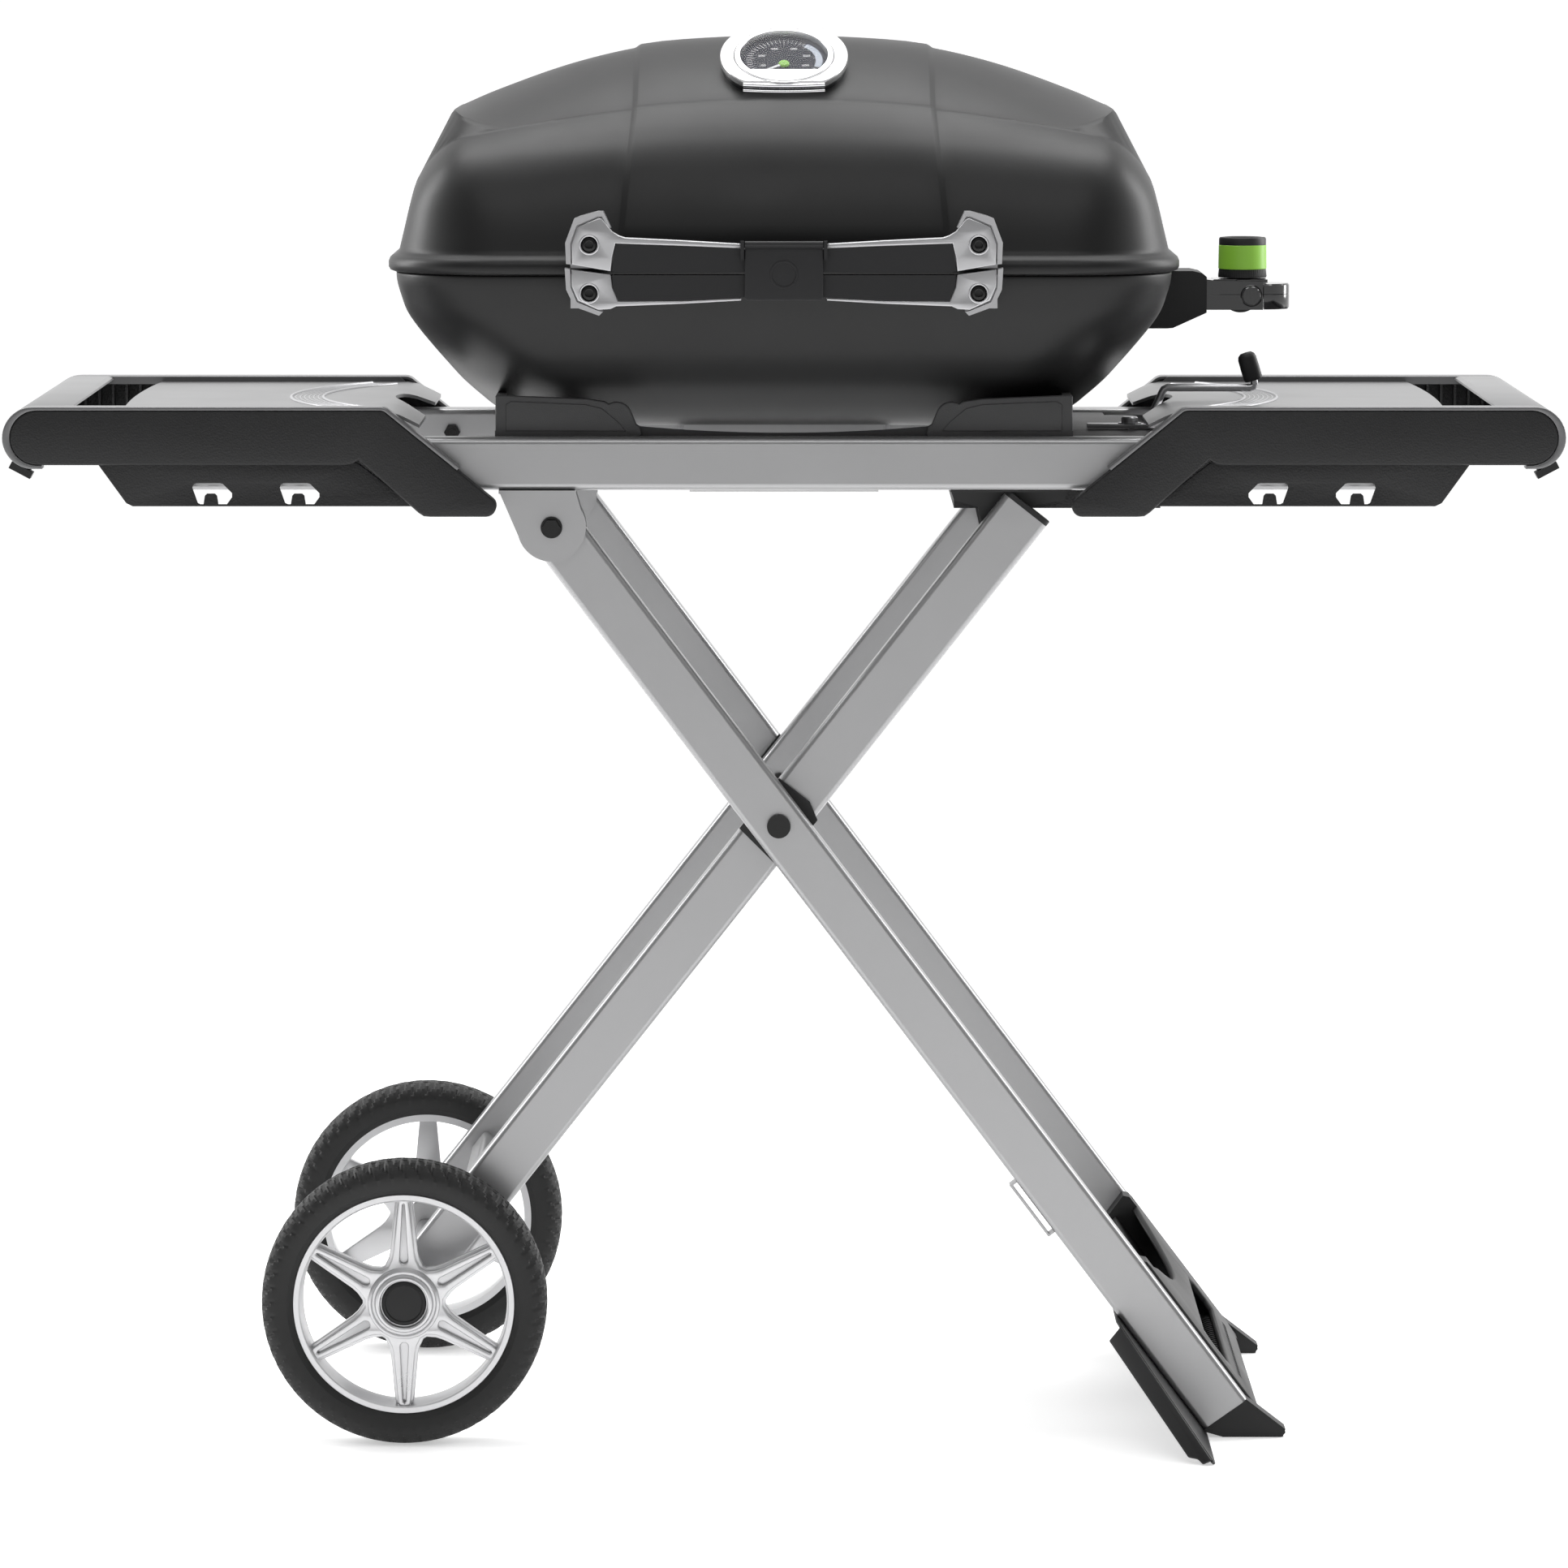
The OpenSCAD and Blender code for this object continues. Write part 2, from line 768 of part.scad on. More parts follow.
module outer_leg(y) {
    at_outer(y) difference() {
        union() {
            rod_y(leg_w / 2, -leg_t / 2, leg_t / 2);
            translate([0, 0, -outer_leg_len]) linear_extrude(outer_leg_len) rrect(leg_w, leg_t, 4);
        }
        rod_y(leg_w / 2 - tube_wall, -leg_t / 2 + tube_wall, leg_t / 2 - tube_wall);
        translate([0, 0, -outer_leg_len - 1]) linear_extrude(outer_leg_len + 1)
            rrect(leg_w - 2 * tube_wall, leg_t - 2 * tube_wall, 2.2);
        rod_y(pin_r + fit, -leg_t, leg_t);
        translate([0, 0, -arm]) rod_y(pin_r + fit, -leg_t, leg_t);
    }
}

// Clip under a leg, which holds the folded legs together
module leg_clip(y) {
    at_outer(y) translate([-leg_w / 2 - 6, -7, -664]) difference() {
        cube([6, 14, 50]);
        translate([1.6, -1, 1.6]) cube([6, 16, 46.8]);
    }
}

module front_outer_leg() {
    color(steel_grey) {
        outer_leg(-outer_leg_y);
        leg_clip(-outer_leg_y);
    }
}

module rear_outer_leg() color(steel_grey) outer_leg(outer_leg_y);

module inner_leg(y) {
    at_inner(y) difference() {
        union() {
            translate([0, 0, -axle_down]) rod_y(leg_w / 2, -leg_t / 2, leg_t / 2);
            translate([0, 0, -axle_down]) linear_extrude(axle_down + inner_leg_up)
                rrect(leg_w, leg_t, 4);
        }
        translate([0, 0, -axle_down])
            rod_y(leg_w / 2 - tube_wall, -leg_t / 2 + tube_wall, leg_t / 2 - tube_wall);
        translate([0, 0, -axle_down]) linear_extrude(axle_down + inner_leg_up + 1)
            rrect(leg_w - 2 * tube_wall, leg_t - 2 * tube_wall, 2.2);
        translate([0, 0, -axle_down]) rod_y(6.1, -leg_t, leg_t);
        rod_y(pin_r + fit, -leg_t, leg_t);
        translate([arm * sin(leg_angle - inner_angle), 0, arm * cos(leg_angle - inner_angle)])
            rod_y(pin_r + fit, y < 0 ? 0 : -leg_t, y < 0 ? leg_t : 0);
    }
}

module front_inner_leg() color(steel_grey) inner_leg(-inner_leg_y);
module rear_inner_leg() color(steel_grey) inner_leg(inner_leg_y);

module leg_pads() {
    color("black") front_and_rear() {
        // spacer pads at the crossing
        at_inner(-inner_leg_y - leg_t / 2 - 5.6) difference() {
            slab_y(0, 5.4) polygon([[-21, -22], [21, -27], [22, 20], [9, 27], [-21, 27]]);
            rod_y(pin_r + fit, -1, 7);
        }
        // end plugs of the inner legs
        at_inner(-inner_leg_y) translate([0, 0, inner_leg_up]) {
            linear_extrude(4) rrect(leg_w, leg_t, 4);
            translate([0, 0, -6]) linear_extrude(6.5)
                rrect(leg_w - 2 * tube_wall - 0.4, leg_t - 2 * tube_wall - 0.4, 2);
        }
    }
}

module crossing_bolts() {
    color("black") front_and_rear() translate([cross_x, 0, cross_z]) {
        rod_y(pin_r, -outer_leg_y - leg_t / 2 - 2, -inner_leg_y + leg_t / 2 + 4);
        rod_y(9, -outer_leg_y - leg_t / 2 - 4, -outer_leg_y - leg_t / 2 - 0.2);
    }
}

module foot_caps() {
    s = sin(leg_angle);
    c = cos(leg_angle);
    ex = outer_x + outer_leg_len * s;
    ez = pin_z - outer_leg_len * c;
    color("black") front_and_rear() {
        slab_y(-outer_leg_y - leg_t / 2, -outer_leg_y + leg_t / 2)
            polygon([[ex - leg_w / 2 * c, ez - leg_w / 2 * s], [ex - 2, 0], [ex + 44, 0],
                [ex + 46, 6], [ex + leg_w / 2 * c, ez + leg_w / 2 * s]]);
        at_outer(-outer_leg_y) translate([0, 0, -outer_leg_len - 0.5]) linear_extrude(14)
            rrect(leg_w - 2 * tube_wall - 0.4, leg_t - 2 * tube_wall - 0.4, 2);
    }
}

module foot_moulding() {
    in = outer_leg_y - leg_t / 2;
    color(dark_grey) at_outer(0) difference() {
        union() {
            // upper panel, two side strips and the pull grip below
            translate([-2, -in, -808]) cube([22, 2 * in, 78]);
            for (sy = [-1, 1]) translate([-2, sy * (in - 12) - 12, -876]) cube([24, 24, 150]);
            translate([8, 0, -853]) rod_y(14, -in, in);
            translate([4, -in, -866]) cube([16, 2 * in, 16]);
        }
        translate([20, 0, -726]) rod_y(26, -in + 24, in - 24);
    }
}

module foot_plate() {
    s1 = 861;
    s0 = 744;
    color("black") at_outer(0) {
        translate([-leg_w / 2 - 2.8, 0, 0]) rotate([0, 90, 0])
            linear_extrude(2.5) polygon([[s0, -205], [s1, -290], [s1, 290], [s0, 205]]);
        // turned-down side edges
        front_and_rear() intersection() {
            translate([-leg_w / 2 - 15, -205, -s0]) rotate([atan2(85, s1 - s0), 0, 0])
                translate([0, 0, -146]) cube([14.5, 2.5, 150]);
            translate([-leg_w / 2 - 16, -290, -s1 + 12]) cube([16, 100, s1 - s0 - 14]);
        }
    }
}

module leg_brace() {
    color(steel_grey) at_inner(0) translate([0, 0, -380])
        rotate([-90, 0, 0]) translate([0, 0, -inner_leg_y + leg_t / 2])
            linear_extrude(2 * inner_leg_y - leg_t) tube_section(20, 20);
}

// ---- carriage under the right-hand ends of the rails ----

module carriage() {
    y_in = -inner_leg_y + leg_t / 2 + 1;
    top = rail_low - 0.4;
    color(dark_grey) {
        front_and_rear() {
            slab_y(y_in, y_in + 3)
                polygon([[slide_x - 42, top], [slide_x + 50, top], [slide_x + 46, top - 11],
                    [slide_x + 17, top - 16], [slide_x + 17, pin_z], [slide_x + 8, pin_z - 24],
                    [slide_x - 12, pin_z - 24], [slide_x - 20, top - 16],
                    [slide_x - 38, top - 11]]);
            // shoe that slides under the rail
            translate([slide_x - 42, -rail_y - 8, top - 1.2]) cube([92, rail_y + 8 + y_in + 2, 1.2]);
            translate([slide_x, 0, pin_z]) rod_y(pin_r, -inner_leg_y - 5, y_in + 2);
        }
        translate([slide_x - 3, 0, pin_z - 17]) rod_y(4.5, y_in + 1, -y_in - 1);
    }
}

module axle() {
    color("silver") at_inner(0) translate([0, 0, -axle_down]) {
        rod_y(6, -wheel_y - 12, wheel_y + 12);
        front_and_rear() difference() {
            rod_y(10, -wheel_y + 19.5, -inner_leg_y - leg_t / 2 - 0.2);
            rod_y(6, -wheel_y, 0);
        }
    }
}

module wheel_rim() {
    spokes = 6;
    difference() {
        union() {
            rotate_extrude($fn = 96) polygon([[rim_r - 11, -18], [rim_r - 1.5, -18], [rim_r - 1.5, 18],
                [rim_r - 11, 18], [rim_r - 6, 13], [rim_r - 6, -13]]);
            cylinder(r = 26, h = 36, center = true);
            for (i = [0:spokes - 1]) rotate([0, 0, 90 + i * 360 / spokes])
                translate([20, -7, 2]) cube([rim_r - 25, 14, 12]);
        }
        translate([0, 0, -20]) cylinder(r = 6 + fit, h = 37);
        translate([0, 0, 16.5]) cylinder(r = 17, h = 5);
    }
}

module tyre() {
    w = tyre_w / 2;
    rotate_extrude($fn = 128) polygon(concat([[rim_r - 1.2, -w + 5], [rim_r - 1.2, w - 5]],
        [[rim_r + 3, w]], arc(wheel_r - 7, w - 7, 7, 90, 0, 6),
        arc(wheel_r - 7, -w + 7, 7, 0, -90, 6), [[rim_r + 3, -w]]));
}

module at_wheel(side) {
    at_inner(side * wheel_y) translate([0, 0, -axle_down]) rotate([-90 * side, 0, 0])
        rotate([0, 0, side * inner_angle]) children();
}

module front_rim() color("silver") at_wheel(-1) wheel_rim();
module rear_rim() color("silver") at_wheel(1) wheel_rim();
module front_tyre() color([0.1, 0.1, 0.1]) at_wheel(-1) tyre();
module rear_tyre() color([0.1, 0.1, 0.1]) at_wheel(1) tyre();

bowl();
bowl_handle_castings();
bowl_grip();
bowl_handle_bolts();
hinge_pins();
burner();
heat_plate();
igniter_electrode();
regulator_bracket();
regulator_housing();
gas_inlet();
pan_runners();
saddles();
front_rail();
rear_rail();
cross_members();
frame_bolts();
pivot_brackets();
lock_housing();
left_tray();
right_tray();
left_front_cheek();
left_rear_cheek();
right_front_cheek();
right_rear_cheek();
hook_panels();
end_bumpers();
lid();
lid_handle_castings();
lid_grip();
lid_handle_bolts();
thermometer_bezel();
thermometer_dial();
thermometer_lens();
thermometer_needle();
handle_latch();
control_knob();
knob_band();
igniter_button();
lock_lever();
lever_grip();
drip_pan();
left_grate();
right_grate();
front_outer_leg();
rear_outer_leg();
foot_caps();
foot_moulding();
foot_plate();
crossing_bolts();
front_inner_leg();
rear_inner_leg();
axle();
leg_brace();
leg_pads();
carriage();
front_rim();
front_tyre();
rear_rim();
rear_tyre();
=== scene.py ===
import json
import math

import bmesh
import bpy
from mathutils import Matrix, Vector


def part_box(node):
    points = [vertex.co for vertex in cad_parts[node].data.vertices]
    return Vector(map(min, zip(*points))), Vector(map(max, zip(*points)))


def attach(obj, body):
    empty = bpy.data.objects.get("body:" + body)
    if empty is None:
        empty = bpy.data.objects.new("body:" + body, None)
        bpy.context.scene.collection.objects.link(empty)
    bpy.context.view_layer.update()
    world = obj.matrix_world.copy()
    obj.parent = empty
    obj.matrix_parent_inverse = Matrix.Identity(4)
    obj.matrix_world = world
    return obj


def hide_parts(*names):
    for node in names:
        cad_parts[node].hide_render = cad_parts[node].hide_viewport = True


# Outlines and sizes below are millimetres in the CAD's frame. Meshes are scaled to metres
# when they are finished.
MM = 0.001
X_AXIS, Y_AXIS = (1, 0, 0), (0, 1, 0)
SWAP_X_AND_Y = Matrix(((0, 1, 0, 0), (1, 0, 0, 0), (0, 0, 1, 0), (0, 0, 0, 1)))

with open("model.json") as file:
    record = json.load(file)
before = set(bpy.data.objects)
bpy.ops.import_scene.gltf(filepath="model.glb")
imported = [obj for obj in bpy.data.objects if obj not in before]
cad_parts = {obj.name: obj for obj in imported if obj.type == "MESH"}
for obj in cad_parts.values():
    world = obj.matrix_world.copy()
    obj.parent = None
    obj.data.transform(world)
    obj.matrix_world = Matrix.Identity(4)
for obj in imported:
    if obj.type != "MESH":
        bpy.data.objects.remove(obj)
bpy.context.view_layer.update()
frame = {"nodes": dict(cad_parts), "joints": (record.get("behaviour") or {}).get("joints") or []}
joints = {joint["name"]: joint for joint in frame["joints"]}


def joint_at(name):
    return Vector(joints[name]["pos_m"]) / MM


def shift(x, y, z):
    return Matrix.Translation((x, y, z))


def turn(degrees, axis):
    return Matrix.Rotation(math.radians(degrees), 4, axis)


# ---------------------------------------------------------------- materials


def add_node(tree, kind, **inputs):
    """A new shader node with some of its inputs set. From_Min stands for From Min."""
    node = tree.nodes.new("ShaderNode" + kind)
    for name, value in inputs.items():
        node.inputs[name.replace("_", " ")].default_value = value
    return node


def finish_material(name, color, rough, metal=0.0, grain=900.0, bump=0.2, depth=0.15,
                    blotch=0.12, rough_spread=0.08, stretch=(1, 1, 1), cells=False, coat=0.0,
                    specular=0.5):
    """A surface with a fine grain, a slow drift of colour and an uneven gloss."""
    material = bpy.data.materials.new(name)
    material.use_nodes = True
    tree = material.node_tree
    shader = tree.nodes["Principled BSDF"]
    shader.inputs["Metallic"].default_value = metal
    shader.inputs["Specular IOR Level"].default_value = specular
    shader.inputs["Coat Weight"].default_value = coat
    shader.inputs["Coat Roughness"].default_value = 0.12

    coords = add_node(tree, "TexCoord")
    mapping = add_node(tree, "Mapping", Scale=stretch)
    tree.links.new(coords.outputs["Object"], mapping.inputs["Vector"])

    if cells:
        fine = add_node(tree, "TexVoronoi", Scale=grain, Randomness=1.0)
        height = fine.outputs["Distance"]
    else:
        fine = add_node(tree, "TexNoise", Scale=grain, Detail=3.0)
        height = fine.outputs["Fac"]
    tree.links.new(mapping.outputs["Vector"], fine.inputs["Vector"])

    slow = add_node(tree, "TexNoise", Scale=14.0, Detail=5.0)
    tree.links.new(mapping.outputs["Vector"], slow.inputs["Vector"])

    tint = add_node(tree, "Mix")
    tint.data_type = "RGBA"
    tint.inputs["A"].default_value = [c * (1 - blotch) for c in color] + [1]
    tint.inputs["B"].default_value = [min(1, c * (1 + blotch)) for c in color] + [1]
    tree.links.new(slow.outputs["Fac"], tint.inputs["Factor"])
    tree.links.new(tint.outputs["Result"], shader.inputs["Base Color"])

    gloss = add_node(tree, "MapRange", To_Min=rough - rough_spread, To_Max=rough + rough_spread)
    tree.links.new(slow.outputs["Fac"], gloss.inputs["Value"])
    tree.links.new(gloss.outputs["Result"], shader.inputs["Roughness"])

    relief = add_node(tree, "Bump", Strength=bump, Distance=depth * MM)
    tree.links.new(height, relief.inputs["Height"])
    tree.links.new(relief.outputs["Normal"], shader.inputs["Normal"])
    return material


CAST = finish_material("cast_powder_coat", (0.009, 0.009, 0.0093), 0.42, metal=0.0, grain=1400,
    bump=0.35, depth=0.1, blotch=0.08, specular=0.32)
ENAMEL = finish_material("bracket_enamel", (0.009, 0.009, 0.0095), 0.46, grain=1200, bump=0.25,
    specular=0.35)
SILVER_CAST = finish_material("satin_die_cast", (0.5, 0.5, 0.51), 0.38, metal=0.85, grain=1600,
    bump=0.3, depth=0.06, blotch=0.06)
GRIP = finish_material("grip_plastic", (0.012, 0.012, 0.013), 0.55, grain=2200, bump=0.25,
    depth=0.06, specular=0.35)
BLACK_BOLT = finish_material("black_oxide", (0.012, 0.012, 0.012), 0.3, metal=0.4, grain=900,
    bump=0.1, depth=0.04)
SILVER_PAINT = finish_material("silver_powder_coat", (0.4, 0.4, 0.405), 0.34, metal=0.72,
    grain=1500, bump=0.25, depth=0.06, blotch=0.05, rough_spread=0.05)
TRAY = finish_material("tray_plastic", (0.17, 0.17, 0.173), 0.3, metal=0.45, grain=900, bump=0.06,
    depth=0.05, blotch=0.05, rough_spread=0.05, specular=0.35)
LEATHERY = finish_material("textured_plastic", (0.012, 0.012, 0.0125), 0.5, grain=700, bump=0.6,
    depth=0.3, blotch=0.15, cells=True, specular=0.4)
CHROME = finish_material("chrome_plate", (0.82, 0.82, 0.83), 0.09, metal=1.0, grain=300, bump=0.02,
    depth=0.03, blotch=0.02, rough_spread=0.03)
SATIN_CHROME = finish_material("satin_bezel", (0.66, 0.66, 0.665), 0.26, metal=0.8, grain=1800,
    bump=0.12, depth=0.04, blotch=0.03, rough_spread=0.04)
DIAL_FACE = finish_material("dial_print", (0.022, 0.024, 0.036), 0.6, grain=1500, bump=0.05,
    depth=0.03, specular=0.1)
DIAL_MARKS = finish_material("dial_marks", (0.75, 0.76, 0.78), 0.5, grain=1500, bump=0.05,
    depth=0.02, blotch=0.03)
DIAL_BAND = finish_material("dial_band", (0.42, 0.47, 0.56), 0.5, grain=1500, bump=0.05,
    depth=0.02, blotch=0.05)
GREEN = finish_material("green_ring", (0.28, 0.6, 0.055), 0.42, grain=1300, bump=0.08, depth=0.05,
    blotch=0.06)
GLOSS_BLACK = finish_material("gloss_black", (0.008, 0.008, 0.009), 0.13, grain=500, bump=0.05,
    depth=0.05, rough_spread=0.05, coat=0.5)
MOULDED_BLACK = finish_material("moulded_black", (0.011, 0.011, 0.0115), 0.5, grain=1100, bump=0.3,
    depth=0.1, specular=0.4)
SADDLE = finish_material("saddle_plastic", (0.042, 0.042, 0.043), 0.52, grain=1000, bump=0.45,
    depth=0.15, cells=True, blotch=0.12)
TYRE = finish_material("hard_rubber", (0.009, 0.009, 0.009), 0.6, grain=650, bump=0.3, depth=0.15,
    blotch=0.2)
RIM = finish_material("silver_rim", (0.62, 0.62, 0.63), 0.3, metal=0.75, grain=1300, bump=0.08,
    depth=0.04, blotch=0.04, coat=0.2)
PLATE = finish_material("black_sheet", (0.01, 0.01, 0.0105), 0.42, grain=1300, bump=0.2, depth=0.08
    )
ZINC = finish_material("plain_steel", (0.5, 0.5, 0.51), 0.34, metal=0.95, grain=500, bump=0.1,
    depth=0.04, stretch=(1, 12, 12))
STAINLESS = finish_material("stainless_tube", (0.5, 0.48, 0.46), 0.3, metal=1.0, grain=420,
    bump=0.12, depth=0.04, stretch=(1, 14, 14), blotch=0.15)
PAN = finish_material("pressed_pan", (0.66, 0.66, 0.66), 0.32, metal=0.9, grain=260, bump=0.2,
    depth=0.2)
IRON = finish_material("coated_iron", (0.03, 0.029, 0.028), 0.55, metal=0.2, grain=480, bump=0.5,
    depth=0.3, blotch=0.25)
CERAMIC = finish_material("glazed_insulator", (0.8, 0.79, 0.75), 0.2, grain=400, bump=0.05,
    coat=0.4)
GLASS = finish_material("dial_glass", (0.1, 0.1, 0.11), 0.05, grain=60, bump=0.01, depth=0.02,
    rough_spread=0.02, blotch=0.01)
GLASS.node_tree.nodes["Principled BSDF"].inputs["Alpha"].default_value = 0.1


# ---------------------------------------------------------------- mesh tools


def prism(bm, outline, y0, y1):
    """A closed solid from an X-Z outline between two depths."""
    near = [bm.verts.new((x, y0, z)) for x, z in outline]
    far = [bm.verts.new((x, y1, z)) for x, z in outline]
    bm.faces.new(near)
    bm.faces.new(list(reversed(far)))
    for i in range(len(outline)):
        bm.faces.new((near[i - 1], far[i - 1], far[i], near[i]))


def box(bm, low, high):
    (x0, y0, z0), (x1, y1, z1) = low, high
    prism(bm, [(x0, z0), (x1, z0), (x1, z1), (x0, z1)], y0, y1)


def skin(bm, rings, caps=True):
    """Joins rings of points, each of the same length, into a closed skin."""
    rows = [[bm.verts.new(point) for point in ring] for ring in rings]
    for one, two in zip(rows, rows[1:]):
        for i in range(len(one)):
            bm.faces.new((one[i - 1], one[i], two[i], two[i - 1]))
    if caps:
        bm.faces.new(rows[0])
        bm.faces.new(list(reversed(rows[-1])))
    return rows


def turned(bm, profile, steps=64, wave=None):
    """A closed profile of (radius, height) turned about Z. wave(angle, i) trims each radius."""
    rows = []
    for k in range(steps):
        angle = 2 * math.pi * k / steps
        row = []
        for i, (radius, height) in enumerate(profile):
            r = radius + (wave(angle, i) if wave else 0)
            row.append(bm.verts.new((r * math.cos(angle), r * math.sin(angle), height)))
        rows.append(row)
    for k in range(steps):
        for i in range(len(profile)):
            bm.faces.new((rows[k - 1][i - 1], rows[k][i - 1], rows[k][i], rows[k - 1][i]))


def disc(bm, profile, steps=64):
    """A solid turned about Z from a profile whose first and last points are on the axis."""
    first = bm.verts.new((0, 0, profile[0][1]))
    last = bm.verts.new((0, 0, profile[-1][1]))
    rows = []
    for k in range(steps):
        angle = 2 * math.pi * k / steps
        rows.append([bm.verts.new((r * math.cos(angle), r * math.sin(angle), h))
                     for r, h in profile[1:-1]])
    for k in range(steps):
        a, b = rows[k - 1], rows[k]
        bm.faces.new((first, b[0], a[0]))
        bm.faces.new((last, a[-1], b[-1]))
        for i in range(1, len(a)):
            bm.faces.new((a[i - 1], b[i - 1], b[i], a[i]))


def tube(bm, path, radius, sides=16):
    """A round bar along a path."""
    points = [Vector(p) for p in path]
    rings = []
    normal = None
    for i, point in enumerate(points):
        ahead = points[min(i + 1, len(points) - 1)] - points[max(i - 1, 0)]
        ahead.normalize()
        if normal is None:
            normal = ahead.orthogonal().normalized()
        normal = (normal - ahead * normal.dot(ahead)).normalized()
        side = ahead.cross(normal)
        rings.append([point + radius * (math.cos(a) * normal + math.sin(a) * side)
                      for a in (2 * math.pi * k / sides for k in range(sides))])
    skin(bm, rings)


def from_curve(curve):
    """The mesh of a curve or text as a bmesh. The curve is removed."""
    holder = bpy.data.objects.new("outline", curve)
    bpy.context.scene.collection.objects.link(holder)
    shape = holder.evaluated_get(bpy.context.evaluated_depsgraph_get())
    mesh = bpy.data.meshes.new_from_object(shape)
    bm = bmesh.new()
    bm.from_mesh(mesh)
    bpy.data.objects.remove(holder)
    bpy.data.curves.remove(curve)
    bpy.data.meshes.remove(mesh)
    return bm


def cut_plate(outline, holes, thick, edge=0.4):
    """A flat plate with holes and rounded edges, from 0 to thick along Z, as a bmesh."""
    curve = bpy.data.curves.new("outline", "CURVE")
    curve.dimensions = "2D"
    curve.fill_mode = "BOTH"
    curve.extrude = max(thick / 2 - edge, 0)
    curve.bevel_depth = edge
    curve.bevel_resolution = 2
    curve.offset = -edge
    for loop in [outline] + list(holes):
        spline = curve.splines.new("POLY")
        spline.points.add(len(loop) - 1)
        spline.use_cyclic_u = True
        for point, (x, y) in zip(spline.points, loop):
            point.co = (x, y, 0, 1)
    bm = from_curve(curve)
    bmesh.ops.remove_doubles(bm, verts=bm.verts, dist=1e-4)
    bmesh.ops.translate(bm, verts=bm.verts, vec=(0, 0, thick / 2))
    return bm


def merge(bm, other, matrix=Matrix()):
    """Adds another bmesh to bm through a matrix, and frees it."""
    other.transform(matrix)
    mesh = bpy.data.meshes.new("part")
    other.to_mesh(mesh)
    other.free()
    bm.from_mesh(mesh)
    bpy.data.meshes.remove(mesh)


def add(bm, draw, *args, width=0, segments=3, place=Matrix()):
    """Draws a shape into a bmesh of its own and merges it in. width goes to soften()."""
    part = bmesh.new()
    draw(part, *args)
    if width:
        soften(part, width, segments)
    merge(bm, part, place)


def facing_front(y):
    """Turns a plate's X-Y outline into X-Z, with its top face towards the front at depth y."""
    return shift(0, y, 0) @ turn(90, "X")


def soften(bm, width, segments=3, angle=30):
    """Rounds every edge sharper than angle, but only where face normals are known.

    A shape fresh from prism(), box() or skin() has none yet, so this leaves its edges sharp.
    Only the foot plate's flanges are rounded as things stand.
    """
    sharp = [edge for edge in bm.edges if edge.is_manifold
             and edge.calc_face_angle(0) > math.radians(angle)]
    bmesh.ops.bevel(bm, geom=sharp, offset=width, segments=segments, profile=0.5,
                    affect="EDGES", clamp_overlap=True)


def mirrored(bm, axis):
    """Adds the mirror image of everything in bm across the plane at right angles to axis."""
    copy = bmesh.ops.duplicate(bm, geom=bm.verts[:] + bm.edges[:] + bm.faces[:])
    verts = [item for item in copy["geom"] if isinstance(item, bmesh.types.BMVert)]
    faces = [item for item in copy["geom"] if isinstance(item, bmesh.types.BMFace)]
    for vert in verts:
        vert.co[axis] *= -1
    bmesh.ops.reverse_faces(bm, faces=faces)


def finish(bm, name, body, material, replaces=(), angle=35):
    """Turns bm into a piece, in metres, that rides on a body."""
    bmesh.ops.recalc_face_normals(bm, faces=bm.faces)
    bm.transform(Matrix.Scale(MM, 4))
    mesh = bpy.data.meshes.new(name)
    bm.to_mesh(mesh)
    bm.free()
    mesh.shade_smooth()
    mesh.set_sharp_from_angle(angle=math.radians(angle))
    mesh.materials.append(material)
    piece = bpy.data.objects.new(name, mesh)
    bpy.context.scene.collection.objects.link(piece)
    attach(piece, body)
    if replaces:
        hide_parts(*replaces)
    return piece


def keep(nodes, material, bevel=0.0):
    """Gives carried-over CAD nodes a material, and rounds their sharp edges."""
    for name in nodes:
        obj = frame["nodes"][name]
        if not obj.material_slots:
            obj.data.materials.append(material)
        for slot in obj.material_slots:
            slot.material = material
        if bevel:
            modifier = obj.modifiers.new("soft_edges", "BEVEL")
            modifier.width = bevel * MM
            modifier.segments = 2
            modifier.limit_method = "ANGLE"
            modifier.angle_limit = math.radians(40)
            modifier.harden_normals = True


def flip(bm, axis):
    """Turns bm into its own mirror image along axis."""
    bm.transform(Matrix.Scale(-1, 4, axis))


def smooth_step(value):
    """Rises smoothly from 0 to 1 as value goes from 0 to 1."""
    t = min(1.0, max(0.0, value))
    return t * t * (3 - 2 * t)


def eased(rows, count):
    """More rows between the given ones, on a smooth curve through them."""
    out = []
    for i in range(len(rows) - 1):
        before, one = rows[max(i - 1, 0)], rows[i]
        two, after = rows[i + 1], rows[min(i + 2, len(rows) - 1)]
        for k in range(count):
            t = k / count
            out.append([0.5 * (2 * b + (c - a) * t + (2 * a - 5 * b + 4 * c - d) * t * t
                               + (3 * b - a - 3 * c + d) * t ** 3)
                        for a, b, c, d in zip(before, one, two, after)])
    out.append(list(rows[-1]))
    return out


def arc(cx, cy, r, start, end, n):
    """n + 1 points on an arc between two angles in degrees."""
    return [(cx + r * math.cos(math.radians(start + (end - start) * i / n)),
             cy + r * math.sin(math.radians(start + (end - start) * i / n)))
            for i in range(n + 1)]


# ---------------------------------------------------------------- lid and bowl

PANEL_STEP = 3.0
ARC_SAMPLES = 30


